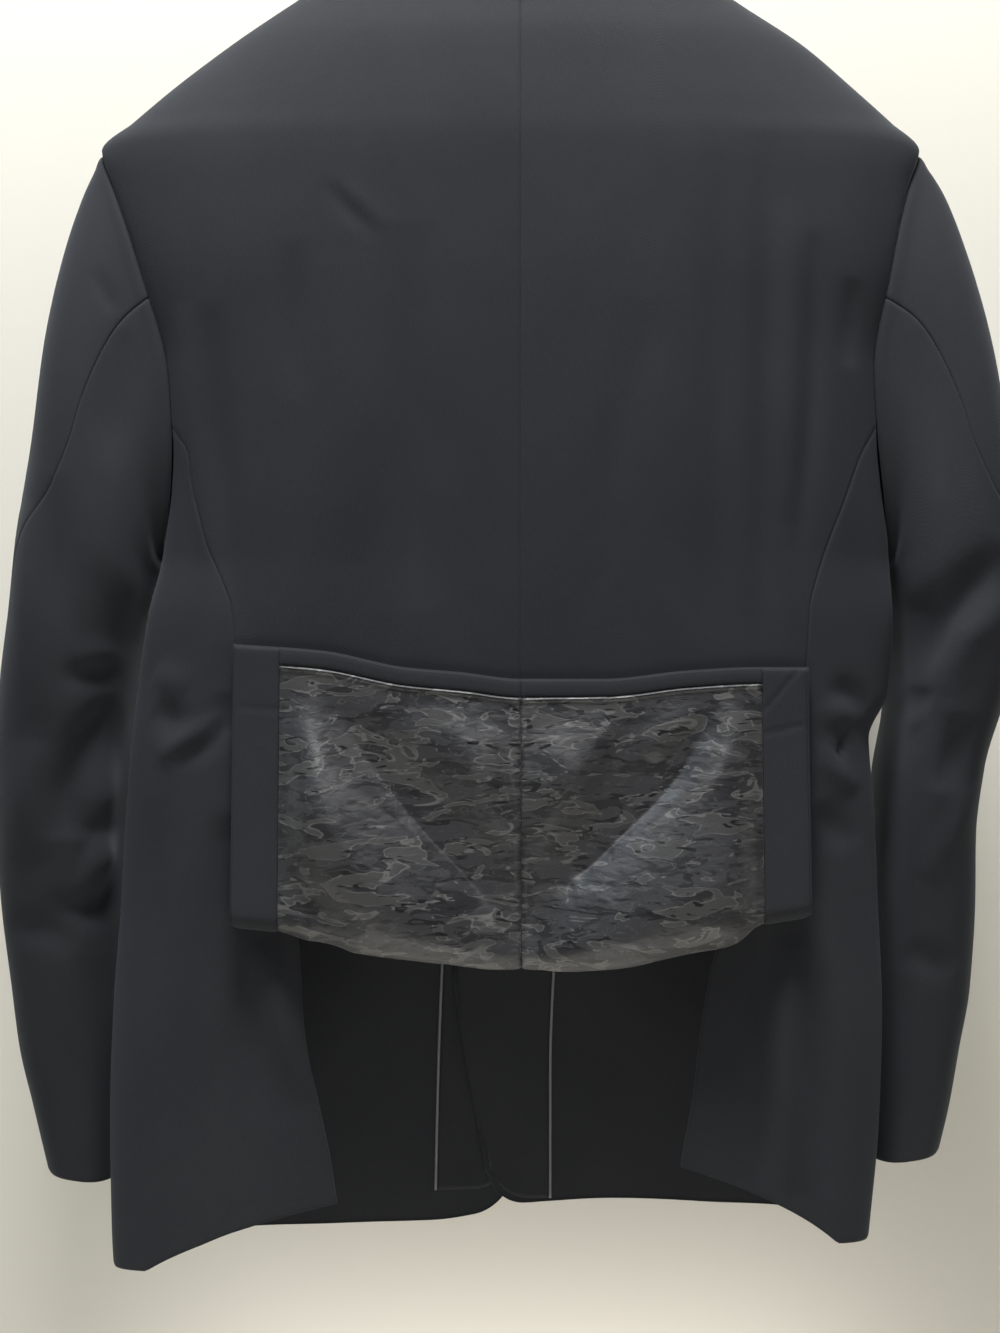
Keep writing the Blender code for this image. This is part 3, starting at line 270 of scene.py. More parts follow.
# %% [markdown]
# ## Named sizes
# These are the coat's own sizes, the same as its solids have: horizontal sections of the torso, the seam lines,
# the rings of each sleeve, the turned-up skirt and the small pieces. Everything below is worked out from them.

# %% Named sizes
# Sizes of the cloth and of the seams
CLOTH = 1.6
FACING_CLOTH = 1.2
LINING_CLOTH = 1.0
LAPEL_CLOTH = 2.4
PLY_GAP = 0.4
HALF_SEAM = 0.15
SIDES = {"left": -1.0, "right": 1.0}
BACK = -1.0
FRONT = 1.0

# Horizontal sections of the torso from the neck to the hem. Left and right are half widths; square is the exponent of
# the superellipse, and lean moves its widest point towards the back. The first row of a table names its columns.
TORSO = (
    ("drop", "left", "right", "back", "front", "square", "lean"),
    (-22, 92, 92, 2, 62, 2.2, 1.0),
    (12, 146, 141, -6, 70, 2.3, 1.0),
    (41, 187, 183, -16, 77, 2.3, 1.0),
    (66, 219, 211, -21, 81, 2.4, 1.0),
    (90, 246, 236, -25, 84, 2.6, 1.0),
    (107, 264, 252, -27, 86, 2.9, 1.0),
    (131, 258, 246, -28, 88, 3.4, 1.0),
    (197, 239, 234, -30, 90, 4.0, 1.0),
    (245, 226, 226, -30, 91, 4.0, 1.0),
    (323, 220, 228, -29, 91, 4.0, 1.0),
    (360, 224, 231, -28, 91, 3.8, 1.0),
    (400, 233, 233, -27, 90, 3.5, 1.15),
    (447, 239, 229, -26, 90, 3.2, 1.3),
    (475, 242, 217, -26, 90, 3.1, 1.4),
    (518, 245, 220, -26, 92, 3.0, 1.5),
    (578, 248, 222, -26, 95, 3.0, 1.6),
    (640, 252, 224, -27, 98, 3.0, 1.7),
    (708, 254, 222, -28, 101, 2.9, 1.75),
    (775, 253, 216, -28, 103, 2.8, 1.8),
    (812, 251, 212, -28, 104, 2.8, 1.8),
)

# The armhole is a superellipse on the torso, in drop and in share of the depth
ARMHOLE_TOP = 107.0
ARMHOLE_BOTTOM = 360.0
ARMHOLE_MIDDLE = (ARMHOLE_TOP + ARMHOLE_BOTTOM) / 2
ARMHOLE_HALF = (ARMHOLE_BOTTOM - ARMHOLE_TOP) / 2
ARMHOLE_SQUARE = 2.4
ARMHOLE_HALF_SHARE = 0.31
SIDE_SEAM_TOP = 283.0
SEAM_START_RUN = 40.0

# Seam between the back and the side body: own-side distance by drop, down to the top of the vent
BACK_SEAM = (
    ("drop", "left", "right"),
    (283, 221, 220),
    (302, 205, 208),
    (332, 197, 196),
    (357, 191, 186),
    (378, 182, 179),
    (394, 176, 175),
    (427, 172, 173),
    (468, 172, 170),
    (570, 173, 173),
)
VENT_TOP = 565.0
NECK_HALF = 92.0
NECK_RISE = 22.0

# Free edge of the vent underlap, which lies inside the back: own-side distance by drop
UNDERLAP = (
    ("drop", "left", "right"),
    (565, 173, 173),
    (578, 142, 130),
    (604, 134, 118),
    (645, 131, 110),
    (692, 123, 104),
    (725, 116, 98),
    (770, 109, 92),
)
UNDERLAP_SET_IN = 3.6

# Front seam of the side body: own-side distance on the front by drop
FRONT_SEAM = (
    ("drop", "left", "right"),
    (283, 219, 222),
    (330, 205, 208),
    (400, 192, 190),
    (475, 190, 178),
    (600, 198, 184),
    (812, 204, 182),
)

# Drop of the hem at the underlap, the outer corner, the front seam, the middle of the front and the front edge
HEM = {
    "left": {"underlap": 755, "corner": 797, "seam": 804, "front": 807, "edge": 792},
    "right": {"underlap": 733, "corner": 780, "seam": 786, "front": 791, "edge": 796},
}
CORNER_SHARE = 0.3

# Fronts: the centre line, the lap past it, the roll line of the lapels and the round corner at the hem
CENTRE_FRONT = -12.5
LAP_AT_BUTTON = 20.0
LAP_AT_HIP = 32.0
LAP_AT_HEM = 8.0
ROLL_END = 425.0
HIP_DROP = 625.0
HEM_CORNER = 26.0
LAP_OFFSET = {"left": 3.4, "right": -3.4}

# Turned-up skirt of the back: lowest point of its bend and its hem edge, by X
SKIRT = (
    ("x", "bend", "hem"),
    (-173, 584, 417),
    (-120, 589, 421),
    (-70, 595, 431),
    (-36, 602, 434),
    (0, 607, 438),
    (50, 600, 438),
    (100, 589, 433),
    (141, 583, 431),
    (173, 578, 431),
)
BEND_RADIUS = 6.5
SKIRT_TOP_GAP = 3.0
SKIRT_FALL = 1.2
HEM_STRIP = 11.5
VENT_STRIP = 27.0
LINING_TURN_IN = 34.0

# Sleeves: outermost and innermost point of each ring, its centre in Y and its half depth
SLEEVE_COLUMNS = ("out_x", "out_drop", "in_x", "in_drop", "centre", "half_depth")
SLEEVES = {
    "left": (
        (264, 107, 228, 360, 31, 36),
        (276, 134, 230, 364, 32, 42),
        (288, 173, 229, 369, 33, 49),
        (298, 222, 231, 376, 35, 57),
        (306, 288, 234, 387, 37, 63),
        (314, 338, 240, 403, 40, 67),
        (320, 389, 246, 425, 42, 69),
        (327, 440, 249, 458, 45, 69),
        (331, 492, 251, 500, 48, 67),
        (332, 535, 254, 543, 52, 65),
        (330, 580, 255, 588, 55, 62),
        (325, 632, 256, 638, 59, 59),
        (321, 671, 256, 677, 62, 57),
        (313, 709, 256, 715, 65, 55),
        (304, 750, 256, 757, 68, 53),
    ),
    "right": (
        (252, 107, 233, 360, 31, 36),
        (267, 131, 236, 364, 32, 42),
        (281, 169, 235, 369, 33, 49),
        (295, 222, 236, 376, 35, 57),
        (306, 288, 238, 387, 37, 63),
        (313, 338, 240, 403, 40, 67),
        (315, 389, 241, 425, 42, 69),
        (307, 440, 240, 458, 46, 68),
        (293, 492, 234, 500, 50, 66),
        (289, 535, 231, 543, 54, 64),
        (290, 580, 230, 588, 57, 61),
        (288, 632, 229, 638, 60, 58),
        (282, 671, 227, 677, 62, 56),
        (276, 709, 225, 715, 64, 54),
        (270, 737, 222, 744, 66, 53),
    ),
}
SLEEVE_SQUARE = 2.7
ARMHOLE_BLEND_RINGS = 4.0

# Sleeve seams as turns round a ring, in degrees: 0 is the outer edge, 90 the back, 180 the inner edge
SLEEVE_SEAMS = (
    ("ring", "hind", "fore"),
    (0, 80, -101),
    (1, 84, -108),
    (3, 84, -120),
    (4, 74, -126),
    (5, 54, -132),
    (6, 34, -136),
    (7, 22, -140),
    (9, 12, -143),
    (14, 6, -148),
)
CUFF_VENT_RING = 12.0
CUFF_VENT_OPEN = 5.0

# Lapel: gorge ends on the roll line and at the notch, and the swell of its outer edge
GORGE_DROP = 45.0
NOTCH_DROP = 96.0
LAPEL_WIDTH = 86.0
LAPEL_SWELL = 7.0

# Collar: crease and leaf edge in (x, y, z) by place, from the centre back (0) by the side neck to the gorge (1)
COLLAR = (
    (0.0, (0, -2, 32), (0, -13, -10)),
    (0.25, (43, 2, 36), (58, -11, -3)),
    (0.38, (66, 12, 42), (92, 1, 8)),
    (0.5, (80, 28, 46), (116, 31, 20)),
    (0.75, (76, 58, 28), (130, 63, -12)),
    (1.0, (63, 82, -30), (142, 80, -70)),
)
COLLAR_PLY_GAP = 0.8
COLLAR_SEAM_LIFT = 0.8
COLLAR_CLOTH = 2.2

# Small pieces
PIPING_RADIUS = 0.9
PIPING_X = {"left": ((600, -49), (700, -53), (786, -55)), "right": ((600, 24), (700, 20), (788, 20))}
FACING_TOP = 520.0
BUTTON_THICKNESS = 3.2
BUTTON_DROPS = {"button_top": 428.0, "button_lower": 530.0}
POCKET_TOP = 545.0
POCKET_DEPTH = 54.0
POCKET_FROM = 62.0
POCKET_TO = 166.0
WELT_FROM = 116.0
WELT_TO = 184.0
WELT_DROP = 205.0
WELT_DEPTH = 24.0
WELT_RISE = 12.0
LOOP_HALF = 28.0
LOOP_DROP = 16.0
LOOP_RISE = 8.0
LOOP_ARCH = 11.0
LOOP_WIDTH = 6.0

# Creases read from the photograph, by the kind of piece and the face they are on: width, height (a trough where
# negative) and line as (X, drop) points. Each is higher by its kind's lift.
CREASE_LIFT = {"torso": 1.3, "sleeve": 1.15, "lining": 1.15}
FACE_LIMIT = (0.05, 0.45)
CREASES = {
    ("torso", BACK): {
        "left armhole drape": (10, -3.0, ((-190, 210), (-185, 282), (-178, 367), (-172, 415))),
        "left armhole roll": (9, 2.0, ((-204, 210), (-200, 282), (-190, 367))),
        "left blade drape": (8, -1.4, ((-137, 174), (-137, 270))),
        "left inner drape": (17, -2.6, ((-72, 165), (-66, 282), (-63, 397))),
        "left inner roll": (18, 1.4, ((-103, 180), (-102, 367))),
        "right inner drape": (14, -1.6, ((72, 210), (57, 306), (42, 415))),
        "right outer drape": (12, -1.9, ((119, 119), (119, 282), (121, 415))),
        "right armhole drape": (11, -2.6, ((149, 107), (149, 282), (147, 421))),
        "right armhole roll": (10, 1.4, ((162, 150), (161, 343))),
        "right armhole crease": (7, -2.6, ((177, 168), (176, 270), (168, 367))),
        "right tip crease": (6, -1.8, ((201, 195), (200, 249))),
        "left blade crease": (5, -1.0, ((-118, 137), (-107, 152), (-85, 173))),
        "left blade crease lip": (6, 0.6, ((-115, 133), (-102, 147), (-80, 168))),
        "left waist valley": (8, -2.6, ((-225, 457), (-201, 467))),
        "left waist ridge": (7, 3.0, ((-191, 459), (-189, 464), (-192, 470), (-206, 478), (-222, 486))),
        "left waist lower valley": (8, -2.6, ((-178, 446), (-181, 466), (-192, 478), (-212, 488))),
        "left waist fan": (8, 1.6, ((-202, 445), (-215, 438), (-224, 434))),
        "left side roll": (13, 4.5, ((-156, 596), (-142, 644), (-127, 692))),
        "left side roll valley": (9, -2.5, ((-171, 602), (-156, 656), (-139, 710))),
        "right waist valley": (8, -2.4, ((189, 440), (212, 457))),
        "right waist light": (10, 2.0, ((191, 450), (196, 468))),
        "right waist hollow": (8, -3.2, ((191, 480), (197, 482))),
        "right waist ridge": (8, 2.6, ((189, 478), (190, 490), (203, 508))),
        "right waist lower valley": (9, -2.6, ((181, 513), (200, 542))),
        "right side valley": (7, -6.0, ((151, 587), (148, 668), (147, 747))),
        "right side roll": (9, 5.0, ((163, 593), (159, 668), (160, 750))),
        "right side second valley": (9, -3.0, ((184, 608), (182, 680), (188, 753))),
        "left side drape": (10, -2.5, ((-224, 511), (-218, 608), (-208, 722))),
    },
    ("sleeve", BACK): {
        "left upper ridge": (10, 3.0, ((-303, 331), (-295, 437), (-290, 463))),
        "left upper valley": (10, -2.5, ((-283, 316), (-277, 390), (-268, 427))),
        "left inner ridge": (12, 3.0, ((-252, 285), (-248, 365), (-241, 415))),
        "left elbow pinch": (9, -3.4, ((-229, 438), (-251, 434), (-280, 438))),
        "left elbow pinch lip": (9, 1.9, ((-234, 427), (-254, 424), (-271, 427))),
        "left elbow valley": (11, -8.0, ((-233, 450), (-251, 461), (-264, 477), (-275, 507), (-278, 536))),
        "left elbow ridge": (10, 5.0, ((-246, 483), (-256, 513), (-259, 531))),
        "left outer roll": (12, 4.0, ((-296, 476), (-300, 513), (-302, 550))),
        "left forearm puff": (17, 6.0, ((-268, 545), (-250, 551))),
        "left forearm crease": (9, -3.8, ((-240, 562), (-251, 575), (-265, 581), (-292, 578))),
        "left lower crease": (9, -2.6, ((-319, 589), (-292, 592), (-273, 602))),
        "left lower drape": (11, -1.5, ((-267, 611), (-277, 673), (-280, 728))),
        "left head crease": (5, -1.2, ((-262, 187), (-256, 199), (-249, 215))),
        "left head drape": (10, -1.5, ((-241, 224), (-246, 279), (-251, 310))),
        "right elbow valley": (13, -8.0, ((295, 362), (270, 384), (255, 402), (241, 440))),
        "right elbow lip": (10, 2.6, ((295, 390), (267, 415), (252, 445))),
        "right inner ridge": (11, 2.2, ((229, 365), (231, 415), (236, 439))),
        "right elbow tuck": (9, -3.4, ((224, 455), (236, 449), (252, 453))),
        "right elbow fold": (9, 3.0, ((221, 465), (233, 461), (246, 468))),
        "right forearm valley": (10, -5.0, ((268, 460), (263, 482), (257, 507))),
        "right forearm hollow": (11, -2.2, ((221, 488), (226, 531), (225, 575))),
        "right highlight ridge": (8, 2.2, ((276, 504), (263, 533), (249, 563))),
        "right forearm crease": (9, -2.6, ((240, 605), (255, 613), (269, 618))),
        "right lower drape": (11, -1.5, ((236, 624), (233, 673), (231, 722))),
        "right head drape": (10, -1.5, ((243, 224), (249, 279), (255, 329))),
    },
    ("lining", BACK): {
        "left valley": (25, -11.5, ((-132, 414), (-119, 431), (-100, 461), (-77, 487), (-48, 522), (-28, 546),
            (-10, 580), (-2, 612))),
        "left crease": (7, -5.0, ((-124, 428), (-106, 459), (-84, 486), (-55, 521), (-34, 548), (-16, 584))),
        "left puff": (26, 10.5, ((-158, 468), (-144, 494), (-131, 518), (-115, 542), (-101, 561), (-86, 575),
            (-69, 587), (-42, 601))),
        "left corner valley": (14, -10.0, ((-148, 535), (-136, 553), (-121, 576), (-104, 596))),
        "right crease": (7, -6.0, ((122, 420), (118, 440), (108, 466), (92, 492), (52, 530), (24, 570))),
        "right valley": (24, -11.5, ((112, 430), (98, 466), (70, 504), (42, 534), (26, 552), (14, 580), (4, 612))),
        "right puff": (44, 11.0, ((178, 528), (148, 556), (116, 580), (80, 600), (42, 612), (14, 616))),
        "right lesser valley": (8, -5.0, ((80, 428), (72, 454), (58, 480), (42, 514))),
        "right lesser ridge": (8, 4.0, ((98, 438), (91, 462), (76, 486))),
        "ease pleat": (2.5, -1.8, ((-13, 474), (-10, 498), (-7, 515), (2, 530))),
    },
    ("torso", FRONT): {
        "left front drag": (14, -3.0, ((-150, 250), (-120, 340), (-95, 420))),
        "right front drag": (14, -3.0, ((150, 240), (118, 340), (90, 420))),
        "left button pull": (9, -1.6, ((-150, 470), (-90, 440), (-40, 430))),
        "right button pull": (9, -1.6, ((120, 480), (60, 445), (16, 430))),
        "left front drape": (16, 2.0, ((-150, 620), (-146, 780))),
        "right front drape": (16, 2.0, ((140, 620), (138, 770))),
    },
    ("sleeve", FRONT): {
        "left front elbow valley": (11, -6.0, ((-316, 400), (-290, 430), (-258, 452))),
        "left front elbow roll": (10, 4.0, ((-322, 430), (-294, 460), (-262, 478))),
        "left front forearm crease": (10, -3.0, ((-320, 505), (-296, 520), (-266, 512))),
        "right front elbow valley": (11, -6.0, ((306, 395), (280, 425), (250, 446))),
        "right front elbow roll": (10, 4.0, ((308, 425), (282, 455), (246, 472))),
        "right front forearm crease": (10, -3.0, ((286, 520), (262, 536), (238, 528))),
    },
}
print("creases:", sum(len(rows) for rows in CREASES.values()))

# %% [markdown]
# ## Sections
# A section of the torso is a superellipse whose widest point may lean to the back. A point of the cloth is found
# from its distance from the centre on its own side and its drop, on the back or on the front.

# %% Sections
def smooth(at, knots, values):
    """Cubic through the knots that never overshoots: each inner slope is the harmonic mean of its two neighbours."""
    knots = np.asarray(knots, float)
    values = np.asarray(values, float)
    steps = np.diff(knots)
    slopes = np.diff(values) / steps
    tangents = np.zeros_like(values)
    tangents[0] = slopes[0]
    tangents[-1] = slopes[-1]
    product = slopes[:-1] * slopes[1:]
    total = slopes[:-1] + slopes[1:]
    same_way = product > 0
    tangents[1:-1][same_way] = 2 * product[same_way] / total[same_way]
    at = np.clip(np.asarray(at, float), knots[0], knots[-1])
    i = np.clip(np.searchsorted(knots, at) - 1, 0, len(knots) - 2)
    t = (at - knots[i]) / steps[i]
    start = (1 + 2 * t) * (1 - t) ** 2 * values[i] + t * (1 - t) ** 2 * steps[i] * tangents[i]
    end = t * t * (3 - 2 * t) * values[i + 1] + t * t * (t - 1) * steps[i] * tangents[i + 1]
    return start + end


def read(table, name, at):
    """Value of a named column of a table at a place along its first column."""
    columns, *rows = table
    index = columns.index(name)
    return smooth(at, [row[0] for row in rows], [row[index] for row in rows])


def ease(value, low, high):
    """Smooth step from 0 at low to 1 at high."""
    t = np.clip((np.asarray(value, float) - low) / (high - low), 0.0, 1.0)
    return t * t * (3 - 2 * t)


def power(value, exponent):
    """Power that keeps the sign."""
    return np.sign(value) * np.abs(value) ** exponent


def torso(drop, name):
    """Value of one torso column at a drop."""
    return read(TORSO, name, drop)


def width_at_share(drop, share, side):
    """Own-side distance of the torso's surface at a share of its depth, 0 at the back and 1 at the front."""
    square = torso(drop, "square")
    across = np.abs(2 * share ** (1 / torso(drop, "lean")) - 1)
    return torso(drop, side) * np.clip(1 - across ** square, 0, 1) ** (1 / square)


def share_at_width(width, drop, side, face):
    """Share of the depth at which the back or the front has an own-side distance."""
    square = torso(drop, "square")
    ratio = np.clip(np.abs(width) / torso(drop, side), 0, 1)
    across = (1 - ratio ** square) ** (1 / square)
    return ((1 + face * across) / 2) ** torso(drop, "lean")


def y_at_share(drop, share):
    """Y of the torso's surface at a share of its depth."""
    return torso(drop, "back") + share * (torso(drop, "front") - torso(drop, "back"))


def y_on(width, drop, side, face):
    """Y of the back or the front at an own-side distance."""
    return y_at_share(drop, share_at_width(width, drop, side, face))


def points(side, width, drop, y):
    """World points in millimetres from own-side distances, drops and Y."""
    width, drop, y = np.broadcast_arrays(width, drop, y)
    return np.stack([SIDES[side] * width, y, -drop], axis=-1).astype(float)


def steps(across, down):
    """Shares from 0 to 1 across a grid and down it, as a column and a row."""
    return np.linspace(0, 1, across)[:, None], np.linspace(0, 1, down)[None, :]


def unit(way):
    """Directions at length one."""
    return way / np.maximum(np.linalg.norm(way, axis=-1, keepdims=True), 1e-9)


def normals(grid):
    """Unit normals of a grid from its two directions."""
    return unit(np.cross(np.gradient(grid, axis=0), np.gradient(grid, axis=1)))


def neck_or_shoulder_drop(width, side):
    """Drop of the upper edge of the back and the front: the neck curve, then the shoulder line."""
    drops = np.linspace(-NECK_RISE, ARMHOLE_TOP, 200)
    shoulder = np.interp(width, torso(drops, side), drops)
    neck = -NECK_RISE * (width / NECK_HALF) ** 2
    return np.where(width < NECK_HALF, neck, shoulder)


def armhole_share(drop, face):
    """Share of the depth of the armhole's edge at a drop."""
    height = np.clip(np.abs((ARMHOLE_MIDDLE - drop) / ARMHOLE_HALF), 0, 1)
    return 0.5 + face * ARMHOLE_HALF_SHARE * (1 - height ** ARMHOLE_SQUARE) ** (1 / ARMHOLE_SQUARE)


def armhole_place(turn):
    """Drop and share of the depth on the armhole: turn 0 is the shoulder tip, 90 degrees the back."""
    drop = ARMHOLE_MIDDLE - ARMHOLE_HALF * power(np.cos(turn), 2 / ARMHOLE_SQUARE)
    return drop, 0.5 - ARMHOLE_HALF_SHARE * power(np.sin(turn), 2 / ARMHOLE_SQUARE)


def armhole_points(side, turn):
    """Edge of the armhole as points of the torso's surface."""
    drop, share = armhole_place(turn)
    return points(side, width_at_share(drop, share, side), drop, y_at_share(drop, share))


def armhole_turn(drop):
    """Turn round the armhole, on its back, at which it has a drop."""
    return np.arccos(np.clip(power((ARMHOLE_MIDDLE - drop) / ARMHOLE_HALF, ARMHOLE_SQUARE / 2), -1, 1))


def seam_width(drop, side, face):
    """Own-side distance of the seam between the side body and the back or front; it starts on the armhole."""
    table = BACK_SEAM if face == BACK else FRONT_SEAM
    start = width_at_share(SIDE_SEAM_TOP, armhole_share(SIDE_SEAM_TOP, face), side)
    shift = start - read(table, side, SIDE_SEAM_TOP)
    return read(table, side, drop) + shift * (1 - ease(drop, SIDE_SEAM_TOP, SIDE_SEAM_TOP + SEAM_START_RUN))


def edge_width(drop, side, face):
    """Own-side distance of the outer edge of a back or front: the armhole, then the seam and the vent."""
    armhole = width_at_share(drop, armhole_share(drop, face), side)
    return np.where(drop < SIDE_SEAM_TOP, armhole, seam_width(drop, side, face))

# %% [markdown]
# ## Cloth from grids
# Each panel is a function of two parameters on a grid: across the panel, and down it. Its creases are soft troughs
# and ridges: a bell across the distance to a given line, faded at the line's ends. Its seams sink a little,
# as pressed seams do. A thin wall is then laid inside it.

# %% Helpers for cloth
REARWARD = (0, -1, 0)
FORWARD = (0, 1, 0)
CREASE_TAPER = 0.8
SEAM_TUCK = 0.3
CLOSE_PLACES = (0.6, 1.2, 1.9, 2.8, 4.2)
EDGES = {"first": (0, False), "last": (0, True), "top": (1, False), "bottom": (1, True)}
CUTS = {}


def crease_height(x, drop, width, height, line):
    """Height of one crease: a bell across the distance to its line, lower towards the line's two ends."""
    nearest = np.full(np.shape(x), np.inf)
    along = np.zeros(np.shape(x))
    runs = [math.hypot(b[0] - a[0], b[1] - a[1]) for a, b in zip(line[:-1], line[1:])]
    total = sum(runs)
    gone = 0.0
    for (x0, d0), (x1, d1), run in zip(line[:-1], line[1:], runs):
        t = np.clip(((x - x0) * (x1 - x0) + (drop - d0) * (d1 - d0)) / run ** 2, 0, 1)
        distance = np.hypot(x - x0 - t * (x1 - x0), drop - d0 - t * (d1 - d0))
        closer = distance < nearest
        nearest = np.where(closer, distance, nearest)
        along = np.where(closer, (gone + t * run) / total, along)
        gone += run
    fade = np.sin(np.pi * np.clip(along, 0.0, 1.0)) ** CREASE_TAPER
    return height * fade * np.exp(-((nearest / width) ** 2))


def outward_normals(grid, towards, at=None):
    """Unit normals of a grid, on the side that faces the given direction at one grid point."""
    normal = normals(grid)
    spot = at or (grid.shape[0] // 2, grid.shape[1] // 2)
    return normal if normal[spot] @ np.asarray(towards, float) > 0 else -normal


def creased(grid, normal, on):
    """Grid moved along its normals by the creases of its kind of piece, each only on the face it belongs to."""
    x, drop = grid[..., 0], -grid[..., 2]
    height = np.zeros(x.shape)
    for (kind, face), creases in CREASES.items():
        if kind == on:
            seen = ease(face * normal[..., 1], *FACE_LIMIT) * CREASE_LIFT[on]
            for width, tall, line in creases.values():
                height += seen * crease_height(x, drop, width, tall, line)
    return grid + height[..., None] * normal


def from_edge(grid, axis, last):
    """Distance along the cloth from one edge of the grid."""
    rows = np.moveaxis(grid, axis, 0)
    rows = rows[::-1] if last else rows
    run = np.cumsum(np.linalg.norm(np.diff(rows, axis=0), axis=-1), axis=0)
    run = np.concatenate([np.zeros((1,) + run.shape[1:]), run])
    run = run[::-1] if last else run
    return np.moveaxis(run, 0, axis)


def places(count, span, first=True, last=True):
    """Places from 0 to 1 along a span in millimetres: even, with extra ones close to the seams at its ends."""
    close = np.array(CLOSE_PLACES) / span
    even = np.linspace(0, 1, count)
    even = even[(even == 0) | (even == 1) | ((even > close[-1] * first) & (even < 1 - close[-1] * last))]
    return np.sort(np.concatenate([even, close if first else [], 1 - close if last else []]))


def pressed(grid, normal, **depths):
    """Grid sunk along its normals near the named edges: each edge has a depth and a width of its pressed band."""
    grid = grid.copy()
    start = grid.copy()
    for edge, (depth, width) in depths.items():
        distance = from_edge(start, *EDGES[edge])
        grid -= depth * np.exp(-((distance / width) ** 2))[..., None] * normal
    return grid


def let_out(grid, *names):
    """Grid whose named edges are let out along the cloth, so that neighbours lap a hair inside their seam."""
    grid = grid.copy()
    for edge in names:
        axis, last = EDGES[edge]
        rows = np.moveaxis(grid, axis, 0)
        rows = rows[::-1] if last else rows
        rows[0] -= SEAM_TUCK * unit(rows[1] - rows[0])
    return grid


def quads_of(rows, columns, closed=False):
    """Corners of the quads between the rows and columns of a grid; closed joins the last column to the first."""
    index = np.arange(rows * columns).reshape(rows, columns)
    if closed:
        index = np.concatenate([index, index[:, :1]], axis=1)
    return np.stack([index[:-1, :-1], index[1:, :-1], index[1:, 1:], index[:-1, 1:]], axis=-1).reshape(-1, 4)


def placed(name, mesh, finish, nodes):
    """Piece of a mesh with its finish: it rides on the root, and stands for the named nodes, if any."""
    mesh.shade_smooth()
    mesh.materials.append(finish)
    piece = bpy.data.objects.new(name, mesh)
    scene.collection.objects.link(piece)
    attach(piece, "root")
    if nodes:
        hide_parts(*nodes)
    return piece


def cloth(name, grid, outward, wall, finish=WOOL, at=None, begin=None):
    """Cloth in place of a node: a mesh of a grid with its lengths as a UV map, and a wall laid inside it.

    With begin, two lengths in metres, the pattern starts there and is laid straight on, so folds don't drag it.
    """
    spot = at or (grid.shape[0] // 2, grid.shape[1] // 2)
    if normals(grid)[spot] @ np.asarray(outward, float) < 0:
        grid = grid[::-1]
    rows, columns = grid.shape[:2]
    quads = quads_of(rows, columns)
    mesh = bpy.data.meshes.new(f"{name}_cloth")
    mesh.vertices.add(rows * columns)
    mesh.vertices.foreach_set("co", (grid * MM).astype(np.float32).ravel())
    mesh.loops.add(quads.size)
    mesh.loops.foreach_set("vertex_index", quads.astype(np.int32).ravel())
    mesh.polygons.add(len(quads))
    mesh.polygons.foreach_set("loop_start", np.arange(0, quads.size, 4, dtype=np.int32))
    mesh.update(calc_edges=True)
    across = from_edge(grid, 0, False)
    down = from_edge(grid, 1, False)
    lengths = np.stack([across - across[-1:] / 2 + np.median(across[-1]) / 2, -down], axis=-1) * MM
    if begin:
        lengths = grid[:, :, [0, 2]] * MM + np.asarray(begin)
    uv = mesh.uv_layers.new(name="cloth")
    uv.data.foreach_set("uv", lengths.reshape(-1, 2)[quads.ravel()].astype(np.float32).ravel())
    piece = placed(f"{name}_cloth", mesh, finish, [name])
    solid = piece.modifiers.new("wall", "SOLIDIFY")
    solid.thickness = wall * MM
    solid.offset = -1.0
    corner = grid[:-1, :-1]
    area = np.linalg.norm(np.cross(grid[1:, :-1] - corner, grid[:-1, 1:] - corner), axis=-1).sum()
    wide, long = (float(run.max()) * MM for run in (across[-1], down[:, -1]))
    CUTS[piece.name] = (round(wide, 3), round(long, 3), round(float(area) * MM * MM, 4))
    print(piece.name, f"{rows} x {columns}, cut about", CUTS[piece.name])

# %% [markdown]
# ## The back and its turned-up skirt
# The back is cut in two halves with a centre seam. Each half runs from the shoulder down to the bend, round it, and
# up the outside again to the hem, which now points upwards. The two halves are pressed flat at the centre seam.

# %% The back and its turned-up skirt
# Each way of a grid has a number of even places and a span in millimetres. The normal at the spot tells which side
# of the cloth is its outside.
BACK_ACROSS = (92, 210.0)
BACK_DOWN = (190, 520.0)
BACK_SPOT = (46, 95)
BEND_ROWS = 13
BEND_FADE = 30.0
SKIRT_ROWS = 46
SEAM_DEPTH = 0.55
SEAM_BAND = 1.15
SEAM = (SEAM_DEPTH, SEAM_BAND)


def bend_edge(side, width):
    """Drop at which the back starts to bend outwards."""
    return read(SKIRT, "bend", SIDES[side] * width) - BEND_RADIUS


def skirt_rise(side, width, up):
    """Drop of the turned skirt and its distance off the back, from the bend (0) up to the hem (1)."""
    end = bend_edge(side, width)
    drop = end + (read(SKIRT, "hem", SIDES[side] * width) - end) * up
    return drop, SKIRT_TOP_GAP + (2 * BEND_RADIUS - SKIRT_TOP_GAP) * (1 - up) ** SKIRT_FALL


